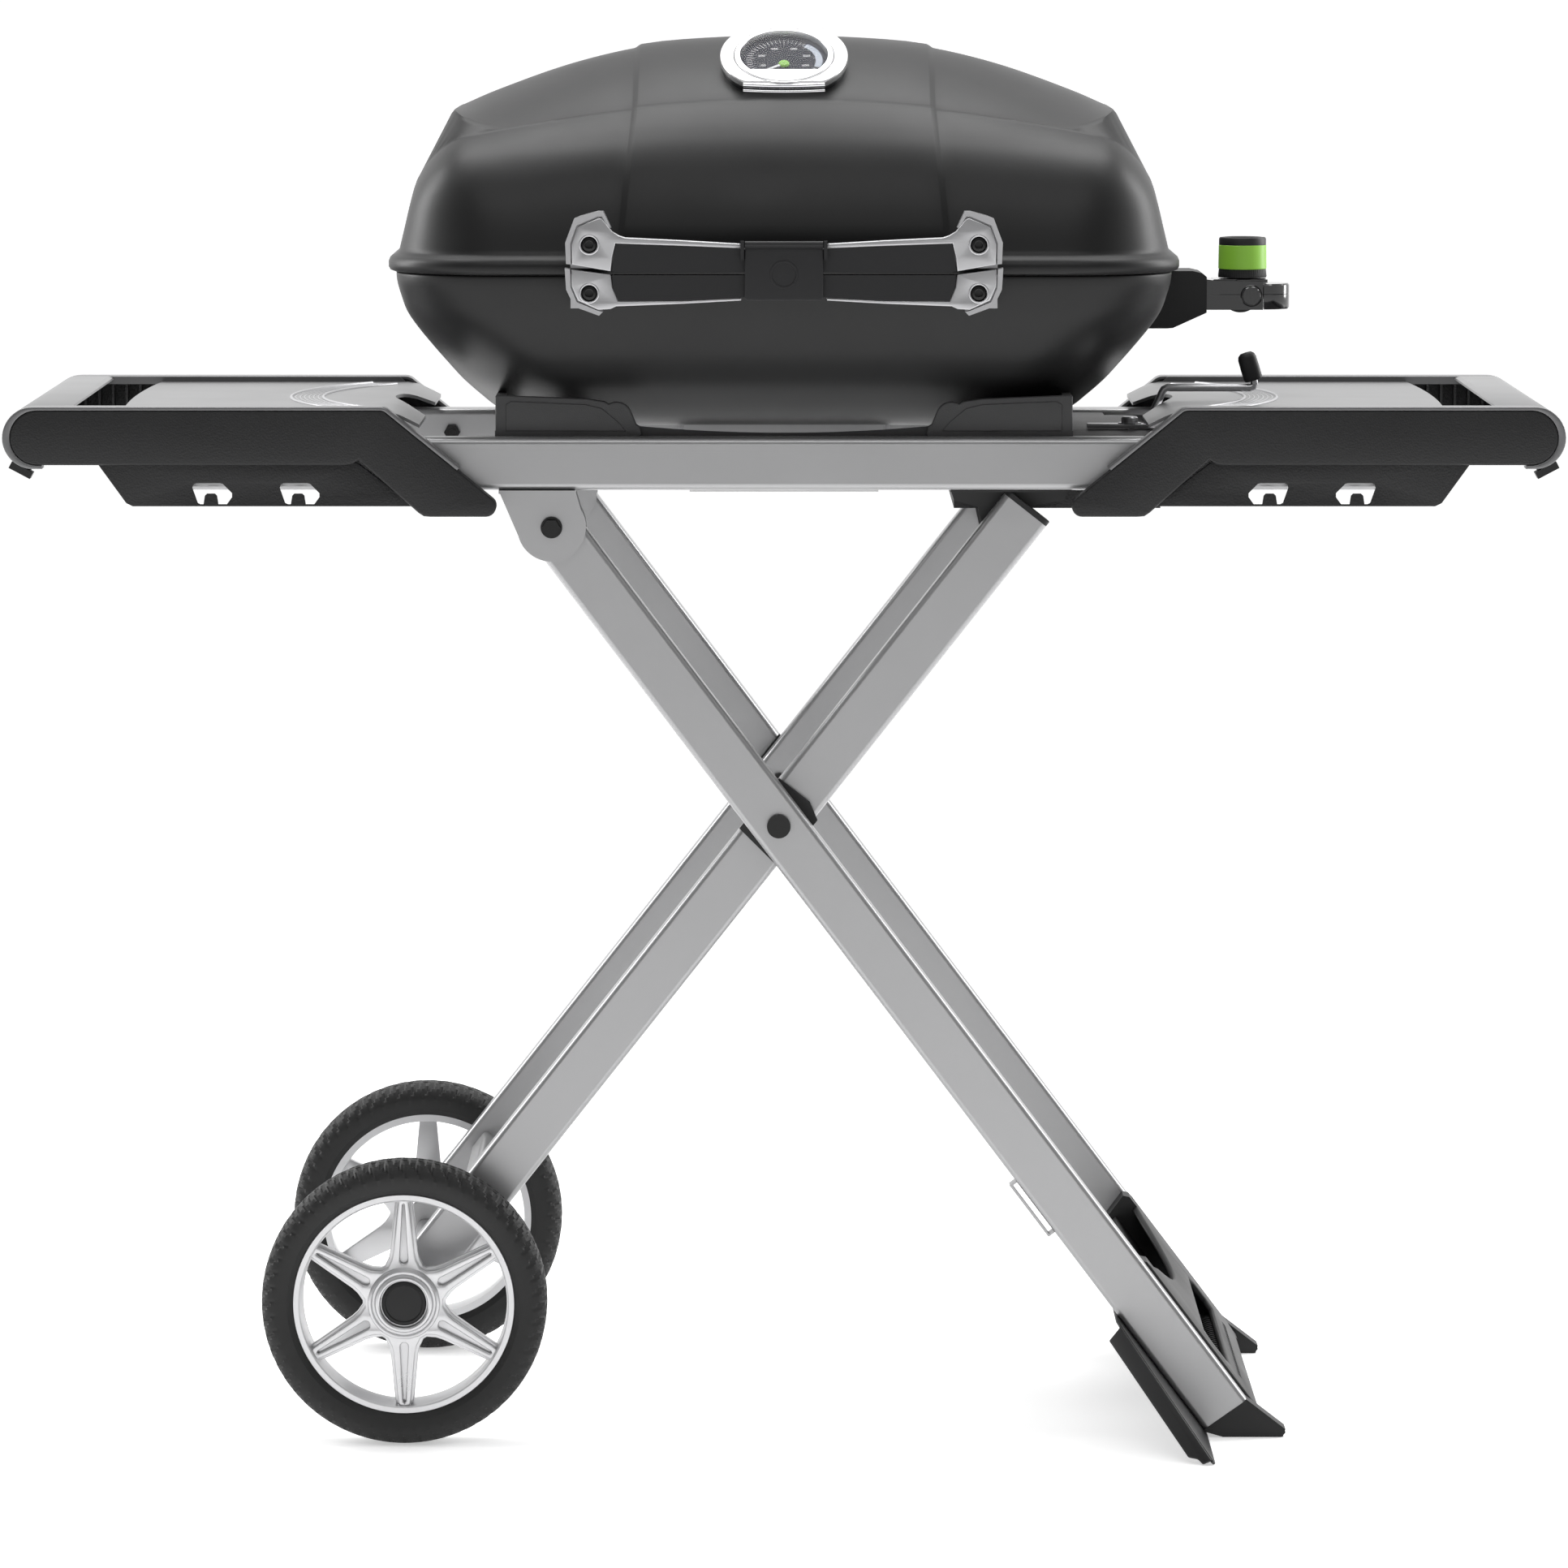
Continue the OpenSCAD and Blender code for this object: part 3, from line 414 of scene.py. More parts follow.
def head_ring(z, half_w, half_d, corner, panel):
    """A rounded oblong, with points gathered beside the edges of the raised middle panel."""
    corner = min(corner, half_w - 1, half_d - 1)
    flat_x, flat_y = half_w - corner, half_d - corner
    length = flat_x + corner * math.pi / 2 + flat_y

    def along(x):
        if x <= flat_x:
            return x
        return flat_x + corner * math.asin(min(1, (x - flat_x) / corner))

    def point(s):
        if s <= flat_x:
            return s, -half_d
        s -= flat_x
        if s <= corner * math.pi / 2:
            a = s / corner
            return flat_x + corner * math.sin(a), -flat_y - corner * math.cos(a)
        return half_w, -flat_y + (s - corner * math.pi / 2)

    reach = min(panel + PANEL_STEP, 0.92 * half_w)
    scale = reach / (panel + PANEL_STEP)
    marks = [k * (panel - PANEL_STEP) / 7 for k in range(8)]
    marks += [panel - PANEL_STEP / 2, panel + PANEL_STEP / 2, panel + PANEL_STEP]
    stops = [along(x * scale) for x in marks]
    stops += [stops[-1] + (length - stops[-1]) * (k + 1) / ARC_SAMPLES
              for k in range(ARC_SAMPLES)]
    quarter = [point(s) for s in stops]
    right = quarter + [(x, -y) for x, y in reversed(quarter[:-1])]
    left = [(-x, y) for x, y in reversed(right[1:-1])]
    return [Vector((x, y, z)) for x, y in right + left]


def panel_edge(z):
    """Half width of the lid's raised panel at a height."""
    return 124.5 - 15.5 * (z - 906) / 160


# height, half width, half depth, corner radius
LID_RIM = [
    (894.2, 291.5, 189.5, 80), (892.4, 293.5, 191.5, 82), (892.0, 297.5, 195.5, 84),
    (893.2, 300.6, 198.6, 86), (895.8, 302, 200, 86), (899.8, 302, 200, 86),
    (902.8, 300.8, 198.8, 86), (904.6, 298.6, 196.8, 85), (905.8, 296.2, 194.8, 83),
    (908, 294, 193, 81)]
# heights at the middle of the front, at its corner and at the end, then as above
LID_WALL = [
    (911, 911, 911, 293.2, 192.2, 80), (930, 929, 926, 289.4, 187.5, 72),
    (950, 947, 938, 286.6, 181, 64), (970, 963.5, 947, 284.4, 172, 57),
    (987, 977, 953.5, 282.8, 160.5, 52), (1001, 986, 957.5, 281.8, 147.5, 48),
    (1011.5, 991.6, 960, 281.2, 135.5, 45), (1018.5, 995, 961.5, 280.6, 126, 43)]
LID_SHOULDER = [(1019.6, 996.4, 964, 279.2, 124.6, 42), (1021.4, 999, 1011, 254.8, 120.5, 37),
                (1022, 1000, 1014, 252.4, 119, 36)]
# height of the roof's middle line at each distance from the centre
ROOF = [(0, 1067), (60, 1065.2), (109, 1060.6), (165, 1047.5), (222, 1027.4), (253, 1014)]
PANEL_RISE = 2.2


def roof_height(x):
    """Height of the roof's middle line, on a smooth curve through the points of ROOF."""
    (xa, za), (xb, zb) = ROOF[-2:]
    knots = [(-ROOF[1][0], ROOF[1][1])] + ROOF + [(2 * xb - xa, 2 * zb - za)]
    x = min(abs(x), xb)
    for before, (xa, za), (xb, zb), after in zip(knots, knots[1:], knots[2:], knots[3:]):
        if x <= xb:
            break
    t = (x - xa) / (xb - xa)
    ga = (zb - before[1]) / (xb - before[0]) * (xb - xa)
    gb = (after[1] - za) / (after[0] - xa) * (xb - xa)
    return ((2 * t ** 3 - 3 * t ** 2 + 1) * za + (t ** 3 - 2 * t ** 2 + t) * ga
            + (3 * t ** 2 - 2 * t ** 3) * zb + (t ** 3 - t ** 2) * gb)


def lid_ring(middle, corner_z, end, half_w, half_d, corner, panel):
    """A rounded oblong whose height drops towards its corners and its ends."""
    ring = head_ring(0, half_w, half_d, corner, panel)
    flat_x, flat_y = half_w - corner, half_d - corner
    for point in ring:
        x, y = abs(point.x), abs(point.y)
        if x <= flat_x:
            point.z = middle + (corner_z - middle) * (x / flat_x) ** 2
        elif y <= flat_y:
            point.z = end
        else:
            part = math.atan2(x - flat_x, y - flat_y) / (math.pi / 2)
            point.z = corner_z + (end - corner_z) * smooth_step(part)
    return ring


def lid_skin(inset):
    """Rings of the lid's wall and roof, drawn in by inset."""
    wall = eased(LID_WALL, 4) + [list(row) for row in LID_SHOULDER]
    rings = []
    for middle, corner_z, end, half_w, half_d, corner in wall:
        drop = inset * smooth_step((middle - 911) / 60)
        rings.append(lid_ring(middle - drop, corner_z - drop, end - drop, half_w - inset,
                              half_d - inset, max(corner - inset, 12), panel_edge(middle)))
    edge = rings[-1]
    for k in range(1, 15):
        q = 1 - k / 14 * 0.985
        rings.append([Vector((p.x, p.y * q,
                              roof_height(p.x) - inset
                              + (p.z - roof_height(p.x) + inset) * q ** 1.7)) for p in edge])
    return rings


def make_lid():
    bm = bmesh.new()
    inside = list(reversed(lid_skin(4.2)))
    rim = [head_ring(*row, panel_edge(row[0])) for row in LID_RIM]
    outside = lid_skin(0)
    rows = skin(bm, inside + rim + outside, caps=False)
    # the first and last rings are long slits along the roof's middle line
    bm.faces.new(rows[0])
    bm.faces.new(list(reversed(rows[-1])))
    bmesh.ops.recalc_face_normals(bm, faces=bm.faces)
    bm.normal_update()
    lifts = []
    for row in rows[len(inside) + len(rim):]:
        for vert in row:
            edge = panel_edge(min(vert.co.z, 1022))
            lift = smooth_step((edge + PANEL_STEP - abs(vert.co.x)) / (2 * PANEL_STEP))
            fade = smooth_step((vert.co.z - 911) / 12)
            lifts.append((vert, vert.normal * PANEL_RISE * lift * fade))
    for vert, move in lifts:
        vert.co += move
    hinge = joint_at("lid_hinge")
    lugs = bmesh.new()
    for side in (-1, 1):
        x0, x1 = sorted((side * 117.6, side * 129.6))
        prism(lugs, arc(hinge.y, hinge.z, 7, 60, -120, 12)
              + [(hinge.y - 18, 894.6), (hinge.y - 18, 907)], x0, x1)
    soften(lugs, 0.8)
    merge(bm, lugs, SWAP_X_AND_Y)
    finish(bm, "lid_shell", "lid", CAST, ["lid"], angle=40)


BOWL_WALL = [
    (891.6, 294.5, 192.5, 80), (891.2, 296, 194, 80), (888, 296, 194, 80),
    (882.5, 295.2, 193, 80), (873, 292.6, 190.2, 80), (861, 288.4, 186, 80),
    (848, 280, 180, 80), (832, 267.6, 171.4, 82), (820, 257.8, 162.6, 82),
    (807, 247, 151.6, 82), (795, 235, 138, 84), (785, 224, 125, 84), (777.5, 211, 112, 80),
    (773.2, 192, 96, 74), (771.6, 160, 76, 62), (771.2, 110, 52, 45), (771.1, 50, 24, 20)]
BOWL_INSIDE = [
    (775, 18, 18, 16), (775, 150, 70, 58), (777.5, 188, 92, 70), (790, 222, 122, 80),
    (811, 244, 148, 78), (835, 264, 168, 78), (863, 285, 182.6, 77), (888, 291.6, 189.6, 76),
    (891.2, 292.4, 190.4, 77)]


def make_bowl():
    bm = bmesh.new()
    rows = list(reversed(eased([tuple(row) for row in reversed(BOWL_WALL)], 3)))
    inside = eased(BOWL_INSIDE, 3)
    skin(bm, [head_ring(*row, 116) for row in inside + rows])
    hinge = joint_at("lid_hinge")
    lugs = bmesh.new()
    for side in (-1, 1):
        x0, x1 = sorted((side * 130, side * 142))
        prism(lugs, [(hinge.y + 7, hinge.z)] + arc(hinge.y, hinge.z, 7, 20, 180, 10)
              + [(hinge.y - 7, 891), (hinge.y - 24, 891), (hinge.y - 24, 880),
                 (hinge.y + 7, 880)], x0, x1)
    soften(lugs, 0.8)
    merge(bm, lugs, SWAP_X_AND_Y)
    for sx in (-1, 1):
        for sy in (-1, 1):
            add(bm, box, (sx * 200 - 15, sy * 172 - 12, 858),
                (sx * 200 + 15, sy * 172 + 12, 880), width=2)
    finish(bm, "bowl_shell", "cart", CAST, ["bowl"], angle=50)


# ---------------------------------------------------------------- handle

HANDLE_Y = -240
BOLT_X = 145.7
LID_BOLT_Z, BOWL_BOLT_Z = 917, 880.8


def handle_half(upper):
    """Both end castings of the upper or the lower half of the handle, as bmeshes."""
    if upper:
        outer = [(163, 902.7), (163.6, 918.5), (156.9, 936.4), (152, 938.4), (138.9, 942),
                 (135, 941.8), (129.4, 929.8)]
        inner = [(131.6, 930), (136.2, 938.2), (139, 938.3), (155, 931.4), (159.8, 918),
                 (159.4, 902.3)]
        plate = [(158.5, 902.1), (158.7, 917.6), (154.1, 930.4), (138.5, 937), (136, 936.4),
                 (128.5, 927), (123.5, 924), (118.7, 922.4), (75, 920.3), (33.5, 917.9),
                 (32, 917), (32, 914.4), (75, 916.2), (126, 918), (128.6, 907),
                 (129.6, 897.2)]
        bolt_z, arm = LID_BOLT_Z, (899, 926)
    else:
        outer = [(164, 899.4), (163, 883.6), (157, 870.8), (138.4, 864), (135.5, 867)]
        inner = [(139, 867.6), (155, 874.2), (159.6, 885), (160, 898.8)]
        plate = [(159, 898.6), (158.8, 886), (154.2, 875.4), (139, 868.4), (130, 869),
                 (125.5, 871), (75, 873), (32, 875.4), (32, 877.2), (75, 875), (124, 874.6),
                 (128.4, 885), (129.6, 894.7)]
        bolt_z, arm = BOWL_BOLT_Z, (869, 890)
    bm = bmesh.new()
    merge(bm, cut_plate(plate, [arc(BOLT_X, bolt_z, 6.4, 0, 345, 23)], 8, 0.9),
          facing_front(HANDLE_Y + 8))
    add(bm, prism, outer + inner, HANDLE_Y + 1.2, HANDLE_Y + 16, width=0.8, segments=2)
    add(bm, prism, outer, HANDLE_Y + 7, HANDLE_Y + 18, width=1.0, segments=2)
    # collar round the bolt, and the arm back to the casting
    add(bm, turned, [(6.1, -3), (6.3, 0.5), (6.9, 0.9), (7.6, 0.5), (7.9, -0.6), (7.9, -3)], 48,
        place=shift(BOLT_X, 0, bolt_z) @ facing_front(HANDLE_Y))
    add(bm, box, (133, HANDLE_Y + 12, arm[0]), (160, -190, arm[1]), width=4)
    mirrored(bm, 0)
    return bm


def make_handle():
    finish(handle_half(True), "lid_castings", "lid", SILVER_CAST,
           ["lid_handle_castings"])
    finish(handle_half(False), "bowl_castings", "cart", SILVER_CAST,
           ["bowl_handle_castings"])
    upper = [(-125.4, 896.8), (125.4, 896.8), (128.6, 897.4), (128, 907), (125.4, 917.2),
             (75, 915.6), (32, 913.8), (-32, 913.8), (-75, 915.6), (-125.4, 917.2),
             (-128, 907), (-128.6, 897.4)]
    lower = [(-128.6, 894.4), (-127.6, 884), (-123.4, 875.4), (-75, 875.8), (-32, 877.8),
             (32, 877.8), (75, 875.8), (123.4, 875.4), (127.6, 884), (128.6, 894.4)]
    for outline, name, body, node in ((upper, "lid_grip_bar", "lid", "lid_grip"),
                                      (lower, "bowl_grip_bar", "cart", "bowl_grip")):
        bm = bmesh.new()
        prism(bm, outline, HANDLE_Y + 0.6, HANDLE_Y + 18)
        soften(bm, 1.6, 3)
        if body == "lid":
            # lugs at each end of the latch plate's pivot
            for mirror in (Matrix(), Matrix.Scale(-1, 4, X_AXIS)):
                add(bm, box, (29.9, -245, 906), (32.5, -238, 920), width=0.7, place=mirror)
        finish(bm, name, body, GRIP, [node])
    for z, name, body, node in ((LID_BOLT_Z, "lid_bolts", "lid", "lid_handle_bolts"),
                                (BOWL_BOLT_Z, "bowl_bolts", "cart", "bowl_handle_bolts")):
        bm = bmesh.new()
        for x in (-BOLT_X, BOLT_X):
            add(bm, disc, [(0, -6), (5.9, -6), (5.9, -1), (5.0, 0.2), (3.4, 0.6), (2.9, 0.4),
                           (2.7, -1.8), (0, -2)], 48,
                place=shift(x, 0, z) @ facing_front(HANDLE_Y + 0.6))
        finish(bm, name, body, BLACK_BOLT, [node])

    pivot = joint_at("latch_flip")
    bm = cut_plate([(-27.5, 875.6), (27.5, 875.6), (29.4, 877.4), (29.4, 912), (28.4, 914.4),
                    (-28.4, 914.4), (-29.4, 912), (-29.4, 877.4)], [], 3.6, 0.9)
    bm.transform(facing_front(HANDLE_Y - 0.5))
    knuckle = bmesh.new()
    tube(knuckle, [(-29.2, pivot.y, pivot.z), (29.2, pivot.y, pivot.z)], 2.4, 24)
    box(knuckle, (-29.2, HANDLE_Y - 3.6, 912.5), (29.2, HANDLE_Y - 1.2, 917))
    soften(knuckle, 0.5, 2)
    merge(bm, knuckle)
    # a plain, shallow round ring
    add(bm, turned, [(8.6, -0.6), (8.9, 0.35), (9.7, 0.5), (10.5, 0.35), (10.8, -0.6)], 64,
        place=shift(0, 0, 895) @ facing_front(HANDLE_Y - 4.1))
    finish(bm, "latch_plate", "latch", GRIP, ["handle_latch"])


# ---------------------------------------------------------------- thermometer

DIAL = shift(0, -82, 1052) @ turn(31, "X")
DIAL_PIVOT_Y = -9
# the scale: angle of its first mark, degrees covered, marks, and marks between long ones
SCALE_START, SCALE_SWEEP, SCALE_MARKS, LONG_EVERY = 214, 248, 36, 6


def clipped_circle(r, low, high):
    """A circle with its top and bottom cut off straight."""
    return [(x, min(high, max(low, y))) for x, y in arc(0, 0, r, 0, 355, 71)]


def make_thermometer():
    bm = cut_plate(clipped_circle(49, -38, 39), [arc(0, 0, 38.4, 0, 356, 89)], 6, 1.1)
    bm.transform(shift(0, 0, -1.5))
    add(bm, turned, [(33.2, -1), (33.2, 4.2), (33.9, 5.2), (36.4, 5.5), (37.6, 5.1),
                     (38.1, 4.2), (38.1, -1)], 96)
    sill = cut_plate([(-25.5, -21)] + arc(0, 0, 33.4, 219.5, 320.5, 24) + [(25.5, -21)], [],
                     5.4, 0.6)
    merge(bm, sill, shift(0, 0, -0.4))
    bm.transform(DIAL)
    finish(bm, "dial_bezel", "lid", SATIN_CHROME, ["thermometer_bezel"])

    bm = bmesh.new()
    for y, z, r in ((-37.6, 1.0, 2.1), (-38.0, -4.0, 1.9)):
        tube(bm, [(x, y - 1.6 * (1 - (x / 31.5) ** 2), z) for x in range(-31, 32, 2)], r, 12)
    bm.transform(DIAL)
    finish(bm, "dial_chrome_lips", "lid", CHROME)

    bm = cut_plate(clipped_circle(48.4, -38, 38.4), [], 8, 0.8)
    bm.transform(DIAL @ shift(0, 0, -8.6))
    finish(bm, "dial_base", "lid", GLOSS_BLACK)

    bm = cut_plate([(x, y) for x, y in arc(0, 0, 33, 0, 356, 89) if y > -21.5], [], 1.2, 0.1)
    bm.transform(DIAL @ shift(0, 0, -1))
    finish(bm, "dial_plate", "lid", DIAL_FACE, ["thermometer_dial"])

    marks = bmesh.new()
    for k in range(SCALE_MARKS + 1):
        angle = SCALE_START - k * SCALE_SWEEP / SCALE_MARKS
        inner = 24.5 if k % LONG_EVERY else 22.5
        add(marks, box, (inner, -0.2, 0), (28.8, 0.2, 0.16),
            place=shift(0, -1.5, 0.25) @ turn(angle, "Z"))
    for k, word in enumerate(("100", "200", "300", "400", "500", "600")):
        angle = math.radians(206 - k * 46.4)
        text = bpy.data.curves.new("numeral", "FONT")
        text.body = word
        text.size = 3.7
        text.extrude = 0.08
        text.align_x = "CENTER"
        text.align_y = "CENTER"
        merge(marks, from_curve(text),
              shift(18.4 * math.cos(angle), 17.4 * math.sin(angle) - 1.5, 0.34))
    marks.transform(DIAL)
    finish(marks, "dial_marks", "lid", DIAL_MARKS)

    band = cut_plate(arc(0, -1.5, 29.6, 52, -20, 20) + arc(0, -1.5, 24.4, -20, 52, 20), [],
                     0.2, 0.02)
    band.transform(DIAL @ shift(0, 0, 0.12))
    finish(band, "dial_hot_band", "lid", DIAL_BAND)

    lens = bmesh.new()
    disc(lens, [(0, 4.3), (32.9, 4.3), (32.9, 4.9), (16, 5.4), (0, 5.5)], 96)
    for vert in lens.verts:
        vert.co.y = max(vert.co.y, -20.9)
    lens.transform(DIAL)
    finish(lens, "dial_lens", "lid", GLASS, ["thermometer_lens"])

    pivot = DIAL @ shift(0, DIAL_PIVOT_Y, 1.2)
    hand = cut_plate([(2, -1.3), (20.5, -0.75), (21.5, 0), (20.5, 0.75), (2, 1.3)], [], 0.8,
                     0.15)
    hand.transform(pivot @ turn(SCALE_START, "Z") @ shift(0, 0, 0.3))
    finish(hand, "dial_hand", "needle", DIAL_MARKS, ["thermometer_needle"])
    hub = bmesh.new()
    disc(hub, [(0, 0), (4.2, 0), (4.2, 1), (3.4, 1.9), (1.6, 2.2), (1.4, 2.7), (0, 2.8)], 40)
    hub.transform(pivot)
    finish(hub, "dial_hub", "needle", GREEN)


# ---------------------------------------------------------------- gas control


BUTTON_X, BUTTON_Y, BUTTON_Z = 363, -21, 868


def make_control():
    knob = joint_at("knob_turn")
    bm = bmesh.new()

    def ribbed(angle, i):
        return 0.0 if i in (0, 5) else -0.22 * (math.cos(60 * angle) > 0.35)

    turned(bm, [(3, 881.6), (18.6, 881.6), (18.9, 882.6), (18.4, 887.6), (18.1, 888.4),
                (3, 888.4)], 240, ribbed)
    # the top, the bar across it and the shaft
    add(bm, disc, [(0, 906.8), (18.3, 906.8), (18.3, 911.6), (17.6, 912.7), (14.5, 913),
                   (13.6, 912), (0, 911.8)], 120)
    add(bm, box, (-13.4, -2.6, 911), (13.4, 2.6, 913), width=0.7)
    add(bm, disc, [(0, 868), (4.9, 868), (4.9, 882), (0, 882)], 32)
    bm.transform(shift(knob.x, knob.y, 0))
    finish(bm, "knob_body", "knob", MOULDED_BLACK, ["control_knob"])
    bm = bmesh.new()
    turned(bm, [(15, 888.2), (18.4, 888.2), (18.75, 888.6), (18.5, 906.5), (18.2, 906.9),
                (15, 906.9)], 120)
    bm.transform(shift(knob.x, knob.y, 0))
    finish(bm, "knob_ring", "knob", GREEN, ["knob_band"])

    bm = bmesh.new()
    lower = [(328.3, 857.2), (372, 857.2), (372, 868.9), (328.3, 868.9)]
    upper = [(328.3, 869.2), (372, 869.2), (372, 879.4), (336, 879.8), (328.3, 880.8)]
    for outline in (lower, upper):
        add(bm, prism, outline, BUTTON_Y, -BUTTON_Y, width=1.4)
    end = bmesh.new()
    disc(end, [(0, 857.4), (20.2, 857.4), (21, 858.6), (21, 868.7), (20.7, 869), (21, 869.3),
               (21, 876), (20, 877.2), (0, 877.4)], 96)
    for vert in end.verts:
        vert.co.x = max(vert.co.x, 0)
    merge(bm, end, shift(372.6, 0, 0))
    # the deck under the knob, the collar round its foot and the rim round the button
    add(bm, prism, [(331, 878), (375.6, 878), (375.6, 880.6), (334, 880.8)], -18, 18, width=0.6)
    add(bm, disc, [(0, 878), (19, 878), (19, 880.4), (18.2, 880.9), (0, 880.9)], 96,
        place=shift(knob.x, 0, 0))
    button = shift(BUTTON_X, 0, BUTTON_Z) @ facing_front(BUTTON_Y)
    add(bm, turned, [(7.6, -1), (7.6, 0.5), (8.0, 0.7), (8.5, 0.5), (8.6, -1)], 48, place=button)
    finish(bm, "control_housing", "cart", GLOSS_BLACK, ["regulator_housing"])

    bm = bmesh.new()
    disc(bm, [(0, -4), (7.2, -4), (7.2, 1.2), (6.8, 1.7), (0, 1.75)], 40)
    for k in range(5):
        x = (k - 2) * 2.7
        reach = math.sqrt(6.2 ** 2 - x ** 2)
        add(bm, box, (x - 0.7, -reach, 1.5), (x + 0.7, reach, 2.3), width=0.3, segments=2)
    bm.transform(button)
    finish(bm, "button_cap", "igniter", GLOSS_BLACK, ["igniter_button"])

    bm = bmesh.new()
    prism(bm, [(283, 843), (297, 843), (302, 843.4), (328, 855.2), (328, 883), (324, 886),
               (317, 887.6), (291, 887.6), (291, 862)], -26, 26)
    soften(bm, 2.2, 4)
    finish(bm, "control_bracket", "cart", ENAMEL, ["regulator_bracket"])


# ---------------------------------------------------------------- shelves

SHELF_UNDER = 749
RIM_END = 5.5
END_R = 21
END_X, END_Z = 563.5, 770
CHEEK_OUT = 205
RAIL_SIDE = 185
# the panel's straight inner edge, and the round hollow in its middle
PANEL_INNER = 276
HOLLOW_X, HOLLOW_R = 175, 128


def cheek_outline(grow, push=0.0):
    """Outline of a shelf's side, larger all round by grow and longer at its end by push."""
    return (arc(END_X + push, END_Z, END_R + grow, 90, -90, 24)
            + [(332, SHELF_UNDER - grow), (326, SHELF_UNDER + 0.8 - grow),
               (321, SHELF_UNDER + 4 - grow), (276, 713 - grow), (272, 710.4 - grow),
               (267, 710 - grow)]
            + arc(225, 718, 8 + grow, 270, 135, 8)
            + arc(305, 783, 8 + grow, 135, 90, 6))


def make_cheek(name, node, sx, sy):
    bm = bmesh.new()
    merge(bm, cut_plate(cheek_outline(-0.4), [], 6, 1.6), facing_front(-CHEEK_OUT + 6))
    # wall behind the face, seen from the inside with its stiffening ribs
    wall = cut_plate(cheek_outline(-0.5), [cheek_outline(-3.5)], CHEEK_OUT - RAIL_SIDE - 5, 0.4)
    merge(bm, wall, facing_front(-RAIL_SIDE - 0.6))
    ribs = bmesh.new()
    for k in range(22):
        x = 330 + k * 11
        box(ribs, (x, -CHEEK_OUT + 4, SHELF_UNDER + 3), (x + 2, -RAIL_SIDE - 2, 790))
    soften(ribs, 0.5, 1)
    merge(bm, ribs)
    if sx < 0:
        flip(bm, X_AXIS)
    if sy > 0:
        flip(bm, Y_AXIS)
    finish(bm, name, "cart", LEATHERY, [node])


HOOK_LOW = 718


def hook_hole(x):
    """A tool hook's window, with the hook standing up in the middle of its lower edge."""
    outline = [(-12, 1.5), (-16, 7), (-16, 10), (-9, 17), (-7, 17.6), (11, 17.6), (13, 16.6),
               (14, 14), (10, 2.5), (8, 1.5), (5.6, 1.5), (4.6, 8), (3, 9.6), (-3, 9.6),
               (-4.6, 8), (-5.6, 1.5)]
    return [(x + dx, HOOK_LOW + dz) for dx, dz in outline]


def make_hook_panels():
    bm = cut_plate([(524, 758), (497, 720.4), (492, HOOK_LOW), (280, HOOK_LOW), (292, 728),
                    (322, 751), (350, 758)], [hook_hole(367), hook_hole(433)], 3, 0.5)
    bm.transform(facing_front(-CHEEK_OUT + 8.4))
    mirrored(bm, 0)
    mirrored(bm, 1)
    finish(bm, "hook_plates", "cart", LEATHERY, ["hook_panels"])


